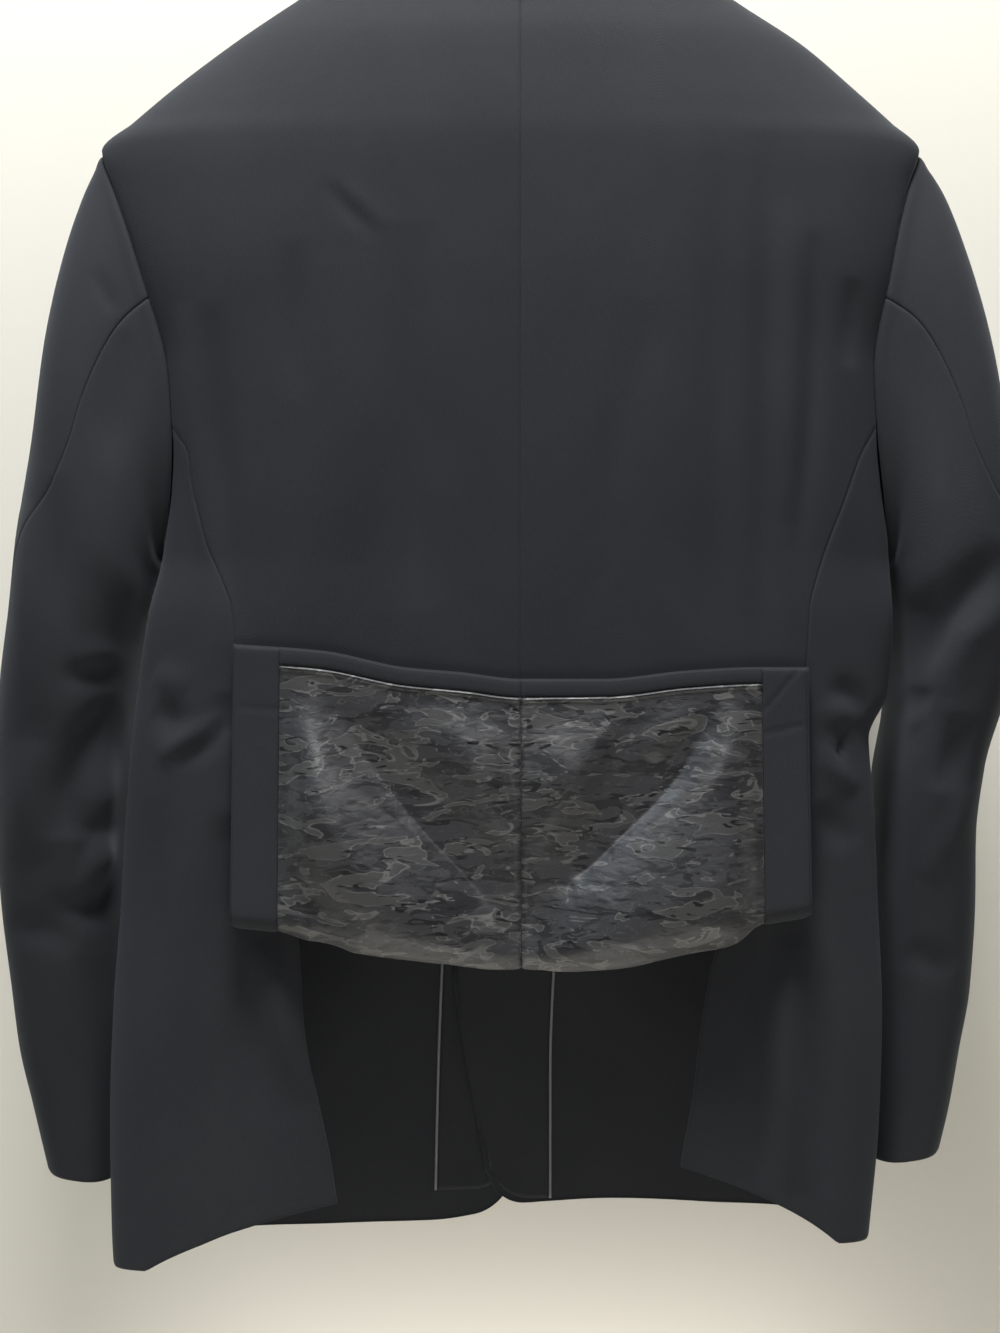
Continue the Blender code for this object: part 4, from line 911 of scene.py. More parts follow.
def back_grid(side):
    """Back from the centre seam to its outer edge, down to the bend and up the turned skirt."""
    share = places(*BACK_ACROSS)[:, None]
    part = places(*BACK_DOWN, last=False)[None, :]
    edge_end = bend_edge(side, edge_width(VENT_TOP, side, BACK))
    width = share * edge_width(ARMHOLE_TOP + part * (edge_end - ARMHOLE_TOP), side, BACK)
    top = neck_or_shoulder_drop(share * torso(ARMHOLE_TOP, side), side)
    column = width[:, -1:]
    end = bend_edge(side, column)
    drop = top + (end - top) * part
    body = points(side, width, drop, y_on(width, drop, side, BACK))
    normal = outward_normals(body, REARWARD, at=BACK_SPOT)
    fade = (1 - ease(drop, end - BEND_FADE, end))[..., None]
    body = body + (creased(body, normal, "torso") - body) * fade
    start_y = body[:, -1:, 1]
    turn = np.linspace(0, np.pi, BEND_ROWS)[None, 1:-1]
    bend = points(side, column, end + BEND_RADIUS * np.sin(turn), start_y - BEND_RADIUS * (1 - np.cos(turn)))
    up = np.linspace(0, 1, SKIRT_ROWS)[None, :]
    skirt_drop, off = skirt_rise(side, column, up)
    level = y_on(column, skirt_drop, side, BACK) + (start_y - y_on(column, end, side, BACK)) * (1 - up)
    return np.concatenate([body, bend, points(side, column, skirt_drop, level - off)], axis=1)


for side in SIDES:
    grid = back_grid(side)
    grid = pressed(grid, outward_normals(grid, REARWARD, at=BACK_SPOT), first=SEAM, last=SEAM, top=SEAM)
    grid = let_out(grid, "first", "last", "top")
    cloth(f"back_{side}", grid, REARWARD, CLOTH, at=BACK_SPOT)

# %% [markdown]
# ## Side bodies with their vent underlaps
# A side body hangs from the underarm between the back and the front. Below the top of the vent its back edge is
# free and lies inside the back, which is why it shows once the skirt is turned up.

# %% Side bodies with their vent underlaps
SIDE_ACROSS = (70, 150.0)
SIDE_DOWN = (210, 480.0)
SIDE_SPREAD = 0.25
EDGE_PRESS = (0.5, SEAM_BAND)
VENT_RUN = (50, 26)
UNDERLAP_REACH = (175, 196)
UNDERLAP_DEPTH = 0.45


def side_angle(share, drop):
    """Angle round the torso's section at a share of its depth."""
    return np.arccos(np.clip(1 - 2 * share ** (1 / torso(drop, "lean")), -1, 1))


def side_grid(side):
    """Side body from the back seam round the side to the front seam, down from the armhole to the hem."""
    start = armhole_turn(SIDE_SEAM_TOP)
    across = places(*SIDE_ACROSS)
    top_drop, top_share = (line[:, None] for line in armhole_place(start + (2 * np.pi - 2 * start) * across))
    across = across[:, None]
    row = HEM[side]
    hem = np.interp(across, [0, CORNER_SHARE, 1], [row["underlap"], row["corner"], row["seam"]])
    part = places(*SIDE_DOWN)[None, :]
    drop = top_drop + (hem - top_drop) * part
    first = np.where(drop <= VENT_TOP, seam_width(drop, side, BACK), read(UNDERLAP, side, drop))
    low = share_at_width(first, drop, side, BACK)
    high = share_at_width(seam_width(drop, side, FRONT), drop, side, FRONT)
    seam_low = share_at_width(seam_width(top_drop, side, BACK), top_drop, side, BACK)
    seam_high = share_at_width(seam_width(top_drop, side, FRONT), top_drop, side, FRONT)
    place = np.clip((top_share - seam_low) / (seam_high - seam_low), 0, 1)
    place = place + (across - place) * ease(part, 0, SIDE_SPREAD)
    angle = side_angle(low, drop) + (side_angle(high, drop) - side_angle(low, drop)) * place
    share = ((1 - np.cos(angle)) / 2) ** torso(drop, "lean")
    width = width_at_share(drop, share, side)
    below = ease(drop, *(VENT_TOP - run for run in VENT_RUN))
    inside = below * (1 - ease(width, *UNDERLAP_REACH)) * (share < UNDERLAP_DEPTH)
    return points(side, width, drop, y_at_share(drop, share)), inside


for side, sign in SIDES.items():
    grid, inside = side_grid(side)
    normal = outward_normals(grid, (sign, 0, 0))
    grid = creased(grid, normal, "torso")
    grid[..., 1] += UNDERLAP_SET_IN * inside
    grid = pressed(grid, normal, last=SEAM, top=SEAM, bottom=EDGE_PRESS)
    above = 1 - ease(-grid[..., 2], VENT_TOP - VENT_RUN[0], VENT_TOP)
    sink = SEAM_DEPTH * np.exp(-((from_edge(grid, 0, False) / SEAM_BAND) ** 2)) * above
    grid = let_out(grid - sink[..., None] * normal, "first", "last", "top")
    cloth(f"side_{side}", grid, (sign, 0, 0), CLOTH)

# %% [markdown]
# ## Fronts
# The fronts are hidden in the photograph except for their insides below the skirt. They close left over right and
# are cut away in a round corner at the hem, as the photograph shows between the two pipings.

# %% Fronts
FRONT_ACROSS = (66, 220.0)
FRONT_DOWN = (200, 700.0)
FRONT_CROWD = 1.15
ROLL_START = 8.0
LAP_END = 800.0
LAP_RUN = (20, 85)
LAP_RISE = (210, 115)
HEM_RUNS = ((-40, 60), (120, 205))


def front_inner_width(drop, side):
    """Own-side distance of the front's inner edge: the roll line, the lap and the cutaway."""
    centre = SIDES[side] * CENTRE_FRONT
    at_neck = NECK_HALF - ROLL_START
    roll = at_neck + (centre - LAP_AT_BUTTON - at_neck) * np.clip((drop + NECK_RISE) / (ROLL_END + NECK_RISE), 0, 1)
    laps = [LAP_AT_BUTTON, LAP_AT_HIP, LAP_AT_HEM]
    lap = smooth(np.maximum(drop, ROLL_END), [ROLL_END, HIP_DROP, LAP_END], laps)
    return np.where(drop < ROLL_END, roll, centre - lap)


def front_y(width, drop, side):
    """Y of a front, parted from the other front where the two lap."""
    start = ease(drop, *(ROLL_END - rise for rise in LAP_RISE))
    return y_on(width, drop, side, FRONT) + LAP_OFFSET[side] * (1 - ease(width, *LAP_RUN)) * start


def front_hem(side, width):
    """Drop of the front's hem at an own-side distance."""
    row = HEM[side]
    level = row["edge"] + (row["front"] - row["edge"]) * ease(width, *HEM_RUNS[0])
    return level + (row["seam"] - level) * ease(width, *HEM_RUNS[1])


def corner_rise(away, radius):
    """Rise of a round corner above its edge, at a distance from the side the corner ends on."""
    return radius * (1 - np.sqrt(1 - (1 - np.clip(away / radius, 0, 1)) ** 2))


def front_grid(side):
    """Front from its inner edge to the armhole and the side seam, down from the shoulder to the hem."""
    share = (places(*FRONT_ACROSS) ** FRONT_CROWD)[:, None]
    hem_edge = HEM[side]["seam"]
    rows = ARMHOLE_TOP + (hem_edge - ARMHOLE_TOP) * places(*FRONT_DOWN)
    part = ((rows - ARMHOLE_TOP) / (hem_edge - ARMHOLE_TOP))[None, :]
    top = neck_or_shoulder_drop(NECK_HALF + (torso(ARMHOLE_TOP, side) - NECK_HALF) * share, side)
    outer = edge_width(rows, side, FRONT)[None, :]
    inner_drop = -NECK_RISE + (HEM[side]["edge"] + NECK_RISE) * part
    inner = np.where(part > 0, front_inner_width(inner_drop, side), NECK_HALF)
    width = inner + (outer - inner) * share
    end = front_hem(side, width[:, -1:]) - corner_rise(width[:, -1:] - width[0, -1], HEM_CORNER)
    drop = top + (end - top) * part
    return points(side, width, drop, front_y(width, drop, side))


for side in SIDES:
    grid = front_grid(side)
    normal = outward_normals(grid, FORWARD)
    grid = creased(grid, normal, "torso")
    grid = pressed(grid, normal, last=SEAM, top=SEAM, first=EDGE_PRESS, bottom=EDGE_PRESS)
    cloth(f"front_{side}", let_out(grid, "last", "top"), FORWARD, CLOTH)

# %% [markdown]
# ## Sleeves
# Each sleeve has a top and an under piece. Its rings swing about the underarm from the armhole into the line of the
# arm. The elbows carry the deepest creases of the coat. The hind seam is open at the cuff, as a vent.

# %% Sleeves
SLEEVE_ACROSS = (54, 150.0)
SLEEVE_DOWN = (210, 620.0)
SLEEVE_SPOT = (27, 105)
SEAM_TWIST_RINGS = 5
HEAD_RISE = 0.7
HEAD_PLACE = 4.0
HEAD_BAND = 4.0
HEAD_SEAM = (0.7, 1.3)
UNDER_OPEN = 0.3


def sleeve_points(side, ring, turn):
    """Sleeve surface: rings that swing about the underarm from the armhole, then follow the arm to the cuff."""
    rows = SLEEVES[side]
    knots = np.arange(len(rows))
    value = {name: smooth(ring, knots, [row[i] for row in rows]) for i, name in enumerate(SLEEVE_COLUMNS)}
    first = dict(zip(SLEEVE_COLUMNS, rows[0]))
    lengthwise = power(np.cos(turn), 2 / SLEEVE_SQUARE)
    depthwise = power(np.sin(turn), 2 / SLEEVE_SQUARE)

    def oval(v):
        width = (v["out_x"] + v["in_x"]) / 2 + lengthwise * (v["out_x"] - v["in_x"]) / 2
        drop = (v["out_drop"] + v["in_drop"]) / 2 + lengthwise * (v["out_drop"] - v["in_drop"]) / 2
        return points(side, width, drop, v["centre"] - depthwise * v["half_depth"])

    fade = np.clip(1 - ring / ARMHOLE_BLEND_RINGS, 0, 1)[..., None] ** 2
    return oval(value) + (armhole_points(side, turn) - oval(first)) * fade


def sleeve_grid(side, piece):
    """One sleeve piece between its two seams, from the armhole to the cuff, and how far its vent is open."""
    last_ring = len(SLEEVES[side]) - 1
    rings = last_ring * places(*SLEEVE_DOWN)[None, :]
    even = places(*SLEEVE_ACROSS)[:, None]
    seam_turns = {name: np.radians(read(SLEEVE_SEAMS, name, rings)) for name in ("fore", "hind")}
    ends = ((-armhole_turn(SIDE_SEAM_TOP), np.radians(read(SLEEVE_SEAMS, "hind", 0.0))),
            (seam_turns["fore"], seam_turns["hind"]))
    if piece == "under":
        ends = tuple((b, a + 2 * np.pi) for a, b in ends)
    at_armhole, on_arm = (a + (b - a) * even for a, b in ends)
    turn = at_armhole + (on_arm - at_armhole) * ease(rings, 0, SEAM_TWIST_RINGS)
    return sleeve_points(side, rings, turn), CUFF_VENT_OPEN * ease(rings, CUFF_VENT_RING, last_ring)[0]


for side in SIDES:
    for piece, outward in (("top", FORWARD), ("under", REARWARD)):
        grid, opening = sleeve_grid(side, piece)
        normal = outward_normals(grid, outward, at=SLEEVE_SPOT)
        grid = creased(grid, normal, "sleeve")
        if piece == "top":
            grid[-1, :, 1] += opening
        else:
            grid[0, :, 1] -= opening * UNDER_OPEN
        head = from_edge(grid, 1, False)
        grid = grid + HEAD_RISE * np.exp(-(((head - HEAD_PLACE) / HEAD_BAND) ** 2))[..., None] * normal
        grid = pressed(grid, normal, first=SEAM, last=SEAM, top=HEAD_SEAM, bottom=EDGE_PRESS)
        cloth(f"{piece}_sleeve_{side}", let_out(grid, "first", "last", "top"), outward, CLOTH, at=SLEEVE_SPOT)

# %% [markdown]
# ## Inside of the turned-up skirt
# Strips of the coat's cloth run along the vent edges and the hem. Between them lies the satin lining. It is longer
# than the space it covers, so it bags out and pulls into deep folds that meet at the middle of the bend.

# %% Inside of the turned-up skirt
# Grid places of the vent strips across, round the bend and up, of the hem strips across and up, and of the lining
# across, inside the back, round the bend and up; then the grid points that tell the outside
FACING_STEPS = (20, 12, 70)
HEM_STEPS = (90, 10)
LINING_STEPS = (110, 12, 16, 120)
FACING_SPOT = (10, 50)
LINING_SPOT = (55, 90)

# Where the strips start round the bend, end below the hem and leave the lining, and the depth and width of pressing
FACING_START = -0.66
STRIP_END = 0.995
STRIP_GAP = 0.002
STRIP_SET_IN = 1.0
STRIP_SEAM = (0.5, 1.5)
STRIP_VENT = (0.6, 2.0)
STRIP_HEM = (0.6, 1.8)
LINING_SEAM = (0.8, 1.3)
LINING_SIDE = (0.5, 1.6)

# The lining's swell in millimetres: even ease, most, and how far from the strip, the centre seam and the hem it fades
LINING_EASE = 12.0
LINING_MOST = 22.0
STRIP_FADE = 14.0
CENTRE_FADE = 16.0
CENTRE_SHARE = 0.45
HEM_FADE = 0.2
BEND_START = (-0.8, 0.12)
LINING_LIP = 1.1
LIP_PLACE = 1.2
LIP_BAND = 1.1
SEAM_PUCKER = 0.35
PUCKER_BAND = 4.0
PUCKER_TURN = 1.7
PATTERN = {"left": (0.31, 1.2), "right": (0.93, 1.9)}

# Mitre lines of the strips' corners as (X, drop) points, by side
CORNER_LINES = (
    ("right", (168.246, 431.2), (145.0, 457.8)),
    ("right", (141.0, 472.0), (168.0, 466.0)),
    ("left", (-168.0, 454.5), (-139.0, 457.0)),
)
CORNER_DEPTH = 0.7
CORNER_BAND = 1.3
HEM_SHARE = 1 - HEM_STRIP / float(read(SKIRT, "bend", 0) - read(SKIRT, "hem", 0))


def skirt_inside(side, width, way, distance):
    """Inside of the turned skirt, off its right side by a distance.

    The way runs from -2 to -1 up the inside of the back, from -1 to 0 round the bend, and from 0 to 1 up the skirt.
    """
    end = bend_edge(side, width)
    start_y = y_on(width, end, side, BACK)
    up = np.clip(way, 0, 1)
    turn = np.pi * np.clip(1 + way, 0, 1)
    skirt_drop, off = skirt_rise(side, width, up)
    radius = BEND_RADIUS + distance
    back_drop = end - LINING_TURN_IN * np.clip(-1 - way, 0, 1)
    y = np.where(way > 0, y_on(width, skirt_drop, side, BACK) - off - distance,
                 np.where(way < -1, y_on(width, back_drop, side, BACK) + distance,
                          start_y - BEND_RADIUS + radius * np.cos(turn)))
    drop = np.where(way > 0, skirt_drop, np.where(way < -1, back_drop, end + radius * np.sin(turn)))
    return points(side, width, drop, y)


def off_line(grid, start, end):
    """Distance of a grid's points from a straight line between two (X, drop) points."""
    x, drop = grid[..., 0], -grid[..., 2]
    run = np.array(end, float) - np.array(start, float)
    t = np.clip(((x - start[0]) * run[0] + (drop - start[1]) * run[1]) / (run @ run), 0, 1)
    return np.hypot(x - start[0] - t * run[0], drop - start[1] - t * run[1])


for side in SIDES:
    edge = float(edge_width(VENT_TOP, side, BACK)) - STRIP_SET_IN
    seam = edge - VENT_STRIP
    lift = CLOTH + PLY_GAP
    across, bend, rise = FACING_STEPS
    share = np.linspace(0, 1, across)[:, None]
    ways = np.concatenate([np.linspace(FACING_START, 0, bend)[:-1], np.linspace(0, STRIP_END, rise)])[None, :]
    grid = skirt_inside(side, seam + HALF_SEAM + (edge - seam - HALF_SEAM) * share, ways, lift + FACING_CLOTH)
    normal = outward_normals(grid, REARWARD, at=FACING_SPOT)
    for where, start, end in CORNER_LINES:
        if where == side:
            sink = CORNER_DEPTH * np.exp(-((off_line(grid, start, end) / CORNER_BAND) ** 2))
            grid = grid - sink[..., None] * normal
    grid = pressed(grid, normal, first=STRIP_SEAM, last=STRIP_VENT, bottom=STRIP_HEM)
    cloth(f"skirt_facing_{side}", grid, REARWARD, FACING_CLOTH, at=FACING_SPOT)

    inner_width = seam - 2 * HALF_SEAM
    share, up = steps(*HEM_STEPS)
    ways = HEM_SHARE + STRIP_GAP + (STRIP_END - HEM_SHARE - STRIP_GAP) * up
    grid = skirt_inside(side, HALF_SEAM + inner_width * share, ways, lift + FACING_CLOTH)
    grid = pressed(grid, outward_normals(grid, REARWARD), top=STRIP_SEAM, bottom=STRIP_HEM)
    cloth(f"skirt_hem_{side}", grid, REARWARD, FACING_CLOTH)

    across, inside, bend, rise = LINING_STEPS
    share = np.linspace(0, 1, across)[:, None]
    ways = np.concatenate([np.linspace(-2, -1, inside)[:-1], np.linspace(-1, 0, bend)[:-1],
                           np.linspace(0, HEM_SHARE - STRIP_GAP, rise)])[None, :]
    grid = skirt_inside(side, HALF_SEAM + inner_width * share, ways, lift + LINING_CLOTH)
    normal = outward_normals(grid, REARWARD, at=LINING_SPOT)
    x, drop = grid[..., 0], -grid[..., 2]
    swell = np.full(x.shape, LINING_EASE)
    for width, tall, line in CREASES["lining", BACK].values():
        swell = swell + CREASE_LIFT["lining"] * crease_height(x, drop, width, tall, line)
    side_fade = 1 - np.exp(-(((1 - share) * (seam / STRIP_FADE)) ** 2))
    middle_fade = CENTRE_SHARE + (1 - CENTRE_SHARE) * (1 - np.exp(-((share * seam / CENTRE_FADE) ** 2)))
    hold = ease(ways, *BEND_START) * (1 - np.exp(-(((ways[0, -1] - ways) / HEM_FADE) ** 2)))
    swell = np.clip(swell, 0.0, LINING_MOST) * side_fade * middle_fade * hold
    lip = LINING_LIP * np.exp(-(((from_edge(grid, 1, True) - LIP_PLACE) / LIP_BAND) ** 2))
    across = from_edge(grid, 0, False)
    pucker = SEAM_PUCKER * np.sin(drop * PUCKER_TURN) * np.exp(-((across / PUCKER_BAND) ** 2))
    grid = grid + (swell + lip + pucker)[..., None] * normal
    grid = pressed(grid, normal, first=LINING_SEAM, last=LINING_SIDE)
    cloth(f"skirt_lining_{side}", grid, REARWARD, LINING_CLOTH, JACQUARD, at=LINING_SPOT, begin=PATTERN[side])

# %% [markdown]
# ## Facings and their piping
# The fronts are faced with their own cloth. A thin satin piping finishes the inner edge of each facing. It is the
# palest line of the coat and follows the facing's slight waver.

# %% Facings and their piping
FRONT_FACING_STEPS = (26, 90)
PIPING_SIDES = 8
FACING_SET_BACK = 3.0
FACING_HEM_GAP = 6
FACING_CORNER_START = 6
PIPING_SET_IN = 0.2


def tube(name, line, radius, finish, nodes=()):
    """Round cord along a smooth line: circles in the planes across it."""
    line = np.asarray(line, float)
    ahead = unit(np.gradient(line, axis=0))
    side_way = unit(np.cross(ahead, (0.0, 1.0, 0.0)))
    up = np.cross(side_way, ahead)
    turn = np.linspace(0, 2 * np.pi, PIPING_SIDES, endpoint=False)
    ring = np.cos(turn)[None, :, None] * side_way[:, None] + np.sin(turn)[None, :, None] * up[:, None]
    grid = line[:, None] + radius * ring
    quads = quads_of(len(line), PIPING_SIDES, closed=True)[:, [0, 3, 2, 1]]
    first = list(range(PIPING_SIDES))
    last = [PIPING_SIDES * (len(line) - 1) + corner for corner in first]
    mesh = bpy.data.meshes.new(name)
    mesh.from_pydata((grid.reshape(-1, 3) * MM).tolist(), [], quads.tolist() + [first[::-1], last])
    placed(name, mesh, finish, nodes)


for side, sign in SIDES.items():
    across, down = steps(*FRONT_FACING_STEPS)
    drops = FACING_TOP + (HEM[side]["edge"] - FACING_HEM_GAP - FACING_TOP) * down
    rows = PIPING_X[side]
    piping_width = sign * smooth(drops, [row[0] for row in rows], [row[1] for row in rows])
    inner = front_inner_width(drops, side) + FACING_SET_BACK
    width = inner + (piping_width - inner) * across
    drop = drops - corner_rise(width - width[:1], HEM_CORNER) * down ** FACING_CORNER_START
    grid = points(side, width, drop, front_y(width, drop, side) - CLOTH - PLY_GAP)
    cloth(f"front_facing_{side}", grid, FORWARD, FACING_CLOTH)
    line = grid[-1].copy()
    line[:, 0] += sign * (PIPING_RADIUS + PLY_GAP)
    line[:, 1] -= FACING_CLOTH / 2 + PIPING_SET_IN
    tube(f"piping_cord_{side}", line, PIPING_RADIUS, PIPING, [f"facing_piping_{side}"])

# %% [markdown]
# ## Lapels and collar
# None of this shows in the photograph, whose upper edge cuts the coat off below the neck. They are the plain notch
# lapels and turned-over collar that such a coat has, rolled softly and not pressed to a knife edge.

# %% Lapels and collar
LAPEL_STEPS = (34, 90)
LAPEL_ROLL = 2.0
LAPEL_END_GAP = 12
LAPEL_FOOT = 7
LAPEL_TAPER = 0.9
GORGE_SET_UP = 4
SIDE_NECK_RUN = (0.5, 0.62)
TURNED_EDGE = (0.6, 1.6)
COLLAR_ALONG = 140
STAND_ROWS = 18
LEAF_ROWS = 40

# Rows of the leaf from the crease: share of the way to its edge, then rise and outward step in thicknesses
LEAF = ((0.0, 1.0, -0.6), (0.0, 0.9, 0.4), (0.0, 0.0, 1.0), (0.3, 0.0, 1.3), (0.65, 0.0, 0.8))


def lapel_grid(side):
    """Lapel on the outside of the front, from the roll line to its edge and from the gorge to the button."""
    across, down = steps(*LAPEL_STEPS)
    low = ROLL_END - LAPEL_END_GAP
    roll_drop = GORGE_DROP + (low - GORGE_DROP) * down
    edge_drop = NOTCH_DROP + (low - NOTCH_DROP) * down
    roll = front_inner_width(roll_drop, side)
    reach = LAPEL_FOOT + (LAPEL_WIDTH - LAPEL_FOOT) * (1 - down) ** LAPEL_TAPER
    edge = front_inner_width(edge_drop, side) + reach
    edge = edge + LAPEL_SWELL * np.sin(np.pi * down)
    width = roll + (edge - roll) * across
    drop = roll_drop + (edge_drop - roll_drop) * across
    bulge = (LAPEL_ROLL * np.sin(np.pi * across) + 1.0 * across) * (1 - down)
    return points(side, width, drop, front_y(width, drop, side) + PLY_GAP + LAPEL_CLOTH + bulge)


def neck_edge(place):
    """Edge of the neck at places from the centre back (0) by the side neck (a half) to the gorge (1)."""
    back_width = NECK_HALF * np.clip(2 * place, 0, 1)
    back_drop = -NECK_RISE * (back_width / NECK_HALF) ** 2
    back_y = y_on(back_width, back_drop, "left", BACK)
    front_drop = -NECK_RISE + (GORGE_DROP - GORGE_SET_UP + NECK_RISE) * np.clip(2 * place - 1, 0, 1)
    front_width = front_inner_width(front_drop, "right") - COLLAR_SEAM_LIFT
    front_edge = y_on(front_width, front_drop, "left", FRONT)
    at_side = y_at_share(-NECK_RISE, 0.5)
    front_edge = at_side + (front_edge - at_side) * ease(place, *SIDE_NECK_RUN)
    on_back = place < 0.5
    width = np.where(on_back, back_width, front_width)
    drop = np.where(on_back, back_drop, front_drop)
    return np.stack([width, np.where(on_back, back_y, front_edge), COLLAR_SEAM_LIFT - drop], axis=-1)


def between(rows, count):
    """Grid with more rows between the given ones, on a smooth curve through them."""
    rows = np.stack(rows, axis=1)
    knots = np.arange(rows.shape[1], dtype=float)
    at = np.linspace(0, knots[-1], count)
    flat = np.moveaxis(rows, 1, 0).reshape(len(knots), -1)
    fine = np.stack([smooth(at, knots, flat[:, k]) for k in range(flat.shape[1])], axis=-1)
    return np.moveaxis(fine.reshape(count, rows.shape[0], 3), 0, 1)


along = np.linspace(-1, 1, COLLAR_ALONG)
place = np.abs(along)
knots = [row[0] for row in COLLAR]
crease, edge = (
    np.stack([smooth(place, knots, [row[i][k] for row in COLLAR]) for k in range(3)], axis=-1) for i in (1, 2)
)
mirrored = np.sign(along)[:, None] * np.array([1, 0, 0]) + np.array([0, 1, 1])
crease, edge, seam = crease * mirrored, edge * mirrored, neck_edge(place) * mirrored
run = unit(np.gradient(crease, axis=0))
up = crease - seam
up = unit(up - np.sum(up * run, axis=-1, keepdims=True) * run)
away = np.cross(run, up)
away = away * np.sign(np.sum(away * (edge - crease), axis=-1, keepdims=True))
off = COLLAR_CLOTH + COLLAR_PLY_GAP
stand = between([seam, seam + (crease - seam) / 2, crease], STAND_ROWS)
rows = [crease + (edge - crease) * reach + rise * off * up + step * off * away for reach, rise, step in LEAF]
leaf = between([*rows, edge], LEAF_ROWS)
cloth("collar_stand", stand, REARWARD, COLLAR_CLOTH)
cloth("collar_leaf", leaf, REARWARD, COLLAR_CLOTH)
for side in SIDES:
    grid = lapel_grid(side)
    grid = pressed(grid, outward_normals(grid, FORWARD), last=TURNED_EDGE, top=TURNED_EDGE)
    cloth(f"lapel_{side}", grid, FORWARD, LAPEL_CLOTH)

# %% [markdown]
# ## Pockets, buttons, buttonholes and loop
# Plain flaps, a breast welt, two dark horn buttons with four holes and the hanger loop, all on hidden parts, in the
# sizes that such coats have. The buttonholes are short ridges of thread.

# %% Pockets, buttons, buttonholes and loop
PATCH_STEPS = (50, 26)
FLAP_CORNER = 12.0
FLAP_SLOPE = 4
FLAP_SEAM = (0.3, 1.4)
BUTTON_STEPS = 40
HOLE_OFF = 2.4
STITCH_REACH = 1.05
STITCH_RISE = 0.55
STITCH_RADIUS = 0.45
BAR_RADIUS = 0.7
BAR_LIFT = 0.2
BUTTONHOLE = ((11.0, 0.0), (15.0, 0.4))
LOOP_STEPS = (60, 8)


def patch_on_front(side, from_width, to_width, low, high, slope, rounded):
    """Plain patch on the outside of a front, with round lower corners where asked."""
    share, down = steps(*PATCH_STEPS)
    width = from_width + (to_width - from_width) * share
    near = np.minimum(width - from_width, to_width - width)
    rise = rounded * corner_rise(near, FLAP_CORNER)
    drop = low + (high - rise - low) * down - slope * share
    grid = points(side, width, drop, front_y(width, drop, side))
    grid = creased(grid, outward_normals(grid, FORWARD), "torso")
    grid[..., 1] += PLY_GAP + LAPEL_CLOTH
    return pressed(grid, outward_normals(grid, FORWARD), first=TURNED_EDGE, last=TURNED_EDGE, top=FLAP_SEAM,
                   bottom=TURNED_EDGE)


for side in SIDES:
    grid = patch_on_front(side, POCKET_FROM, POCKET_TO, POCKET_TOP, POCKET_TOP + POCKET_DEPTH, FLAP_SLOPE, 1.0)
    cloth(f"pocket_flap_{side}", grid, FORWARD, LAPEL_CLOTH)
grid = patch_on_front("left", WELT_FROM, WELT_TO, WELT_DROP, WELT_DROP + WELT_DEPTH, WELT_RISE, 0.0)
cloth("breast_welt", grid, FORWARD, LAPEL_CLOTH)

BUTTON_PROFILE = (
    (0.0, 0.45), (2.0, 0.46), (5.4, 0.55), (6.6, 0.75), (7.4, 1.25), (8.2, 1.6), (9.1, 1.55), (9.75, 1.2),
    (10.0, 0.5), (9.9, -0.4), (9.2, -1.2), (7.5, -1.6), (0.0, -1.6),
)


def turned(name, profile, at, finish, nodes):
    """Piece turned about the Y axis from (radius, height) points, its height pointing forwards."""
    radius, height = np.array(profile, float).T[..., None]
    turn = np.linspace(0, 2 * np.pi, BUTTON_STEPS, endpoint=False)[None, :]
    grid = np.stack([at[0] + radius * np.cos(turn), at[1] + height + 0 * turn, at[2] + radius * np.sin(turn)], -1)
    mesh = bpy.data.meshes.new(name)
    quads = quads_of(len(profile), BUTTON_STEPS, closed=True)
    mesh.from_pydata((grid.reshape(-1, 3) * MM).tolist(), [], quads.tolist())
    mesh.validate()
    placed(name, mesh, finish, nodes)


def bar(name, start, end, side, count=26):
    """Short ridge of thread on the outside of a front, between two (own-side distance, drop) points."""
    t = np.linspace(0, 1, count)
    width = start[0] + (end[0] - start[0]) * t
    drop = start[1] + (end[1] - start[1]) * t
    tube(name, points(side, width, drop, front_y(width, drop, side) + BAR_LIFT), BAR_RADIUS, THREAD)


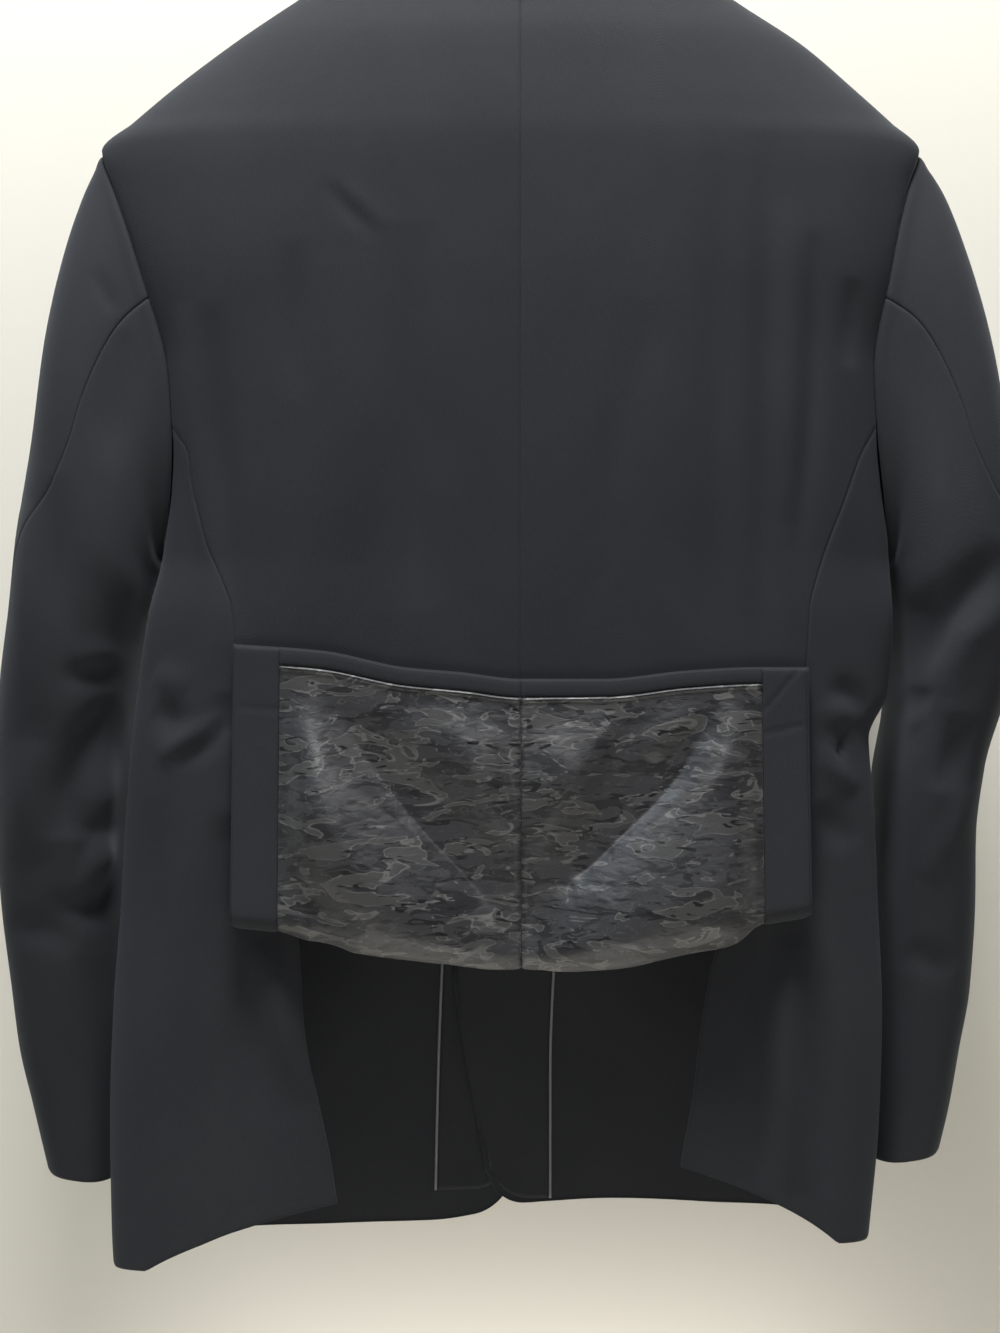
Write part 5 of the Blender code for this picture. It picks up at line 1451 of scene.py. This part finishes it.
t = np.linspace(-1, 1, 12)
arc = np.stack([0 * t, STITCH_RISE * (1 - t ** 4), 0 * t], axis=-1)
stitch = t[:, None] * np.array([HOLE_OFF, 0, HOLE_OFF]) * STITCH_REACH
for name, drop in BUTTON_DROPS.items():
    y = float(front_y(-CENTRE_FRONT, drop, "left")) + 2 * PLY_GAP + BUTTON_THICKNESS / 2
    turned(f"{name}_turned", BUTTON_PROFILE, (CENTRE_FRONT, y, -drop), HORN, [name])
    lift = np.array([CENTRE_FRONT, y + STITCH_RISE, -drop])
    for label, way in (("rising", (1, 1, 1)), ("falling", (1, 1, -1))):
        tube(f"{name}_thread_{label}", lift + stitch * way + arc, STITCH_RADIUS, THREAD)
for name, drop in BUTTON_DROPS.items():
    bar(f"{name}_hole_thread", *((out - CENTRE_FRONT, drop + low) for out, low in BUTTONHOLE), "left")

along, across = steps(*LOOP_STEPS)
along = 2 * along - 1
arch = 1 - along ** 2
x = LOOP_HALF * along + 0 * across
z = -LOOP_DROP + LOOP_RISE * arch + LOOP_WIDTH * across
y = y_on(np.abs(x), -z, "left", BACK) + 2 * CLOTH + PLY_GAP + LOOP_ARCH * arch
cloth("hanger_loop", np.stack([x, y, z], axis=-1), FORWARD, CLOTH)

# %% [markdown]
# ## Stitches on the lining
# A short row of dark tacking stitches crosses the lining above its middle, where its ease is held.

# %% Stitches on the lining
TACKS = ((-28.6, 475.0), (-17.4, 476.5), (-4.2, 476.2), (4.6, 476.0), (14.0, 477.0))
TACK_HALF = 3.6
TACK_RADIUS = 0.42
TACK_SLANT = 0.3
TACK_OFF = 0.25
TACK_SINK = 0.35
NEAR_TACK = 3.0


def on_lining(x, drop):
    """Y of the outermost lining point near an (X, drop) place."""
    lows = []
    for side in SIDES:
        mesh = bpy.data.objects[f"skirt_lining_{side}_cloth"].data
        co = np.empty(len(mesh.vertices) * 3, np.float32)
        mesh.vertices.foreach_get("co", co)
        co = co.reshape(-1, 3) / MM
        near = np.hypot(co[:, 0] - x, co[:, 2] + drop) < NEAR_TACK
        if near.any():
            lows.append(float(co[near, 1].min()))
    return min(lows)


t = np.linspace(-1, 1, 10)
for number, (x, drop) in enumerate(TACKS):
    y = on_lining(x, drop) + TACK_OFF - TACK_SINK * (1 - t ** 2)
    tube(f"tack_{number}", np.stack([x + TACK_HALF * t, y, -drop + TACK_SLANT * t], axis=-1), TACK_RADIUS, THREAD)

# %% [markdown]
# ## What each cloth was cut to
# Each panel's flat size and area as it was cut are taken up again: each side is held to a least size,
# and the share of its rectangle that the area fills is worked out.

# %% What each cloth was cut to
LEAST_SIDE = 0.011
for name, (wide, long, area) in CUTS.items():
    base, _, side = name.removesuffix("_cloth").rpartition("_")
    wide, long = max(wide, LEAST_SIDE), max(long, LEAST_SIDE)
    share = min(area / (wide * long), 1.0)
print("sheets:", len(CUTS))
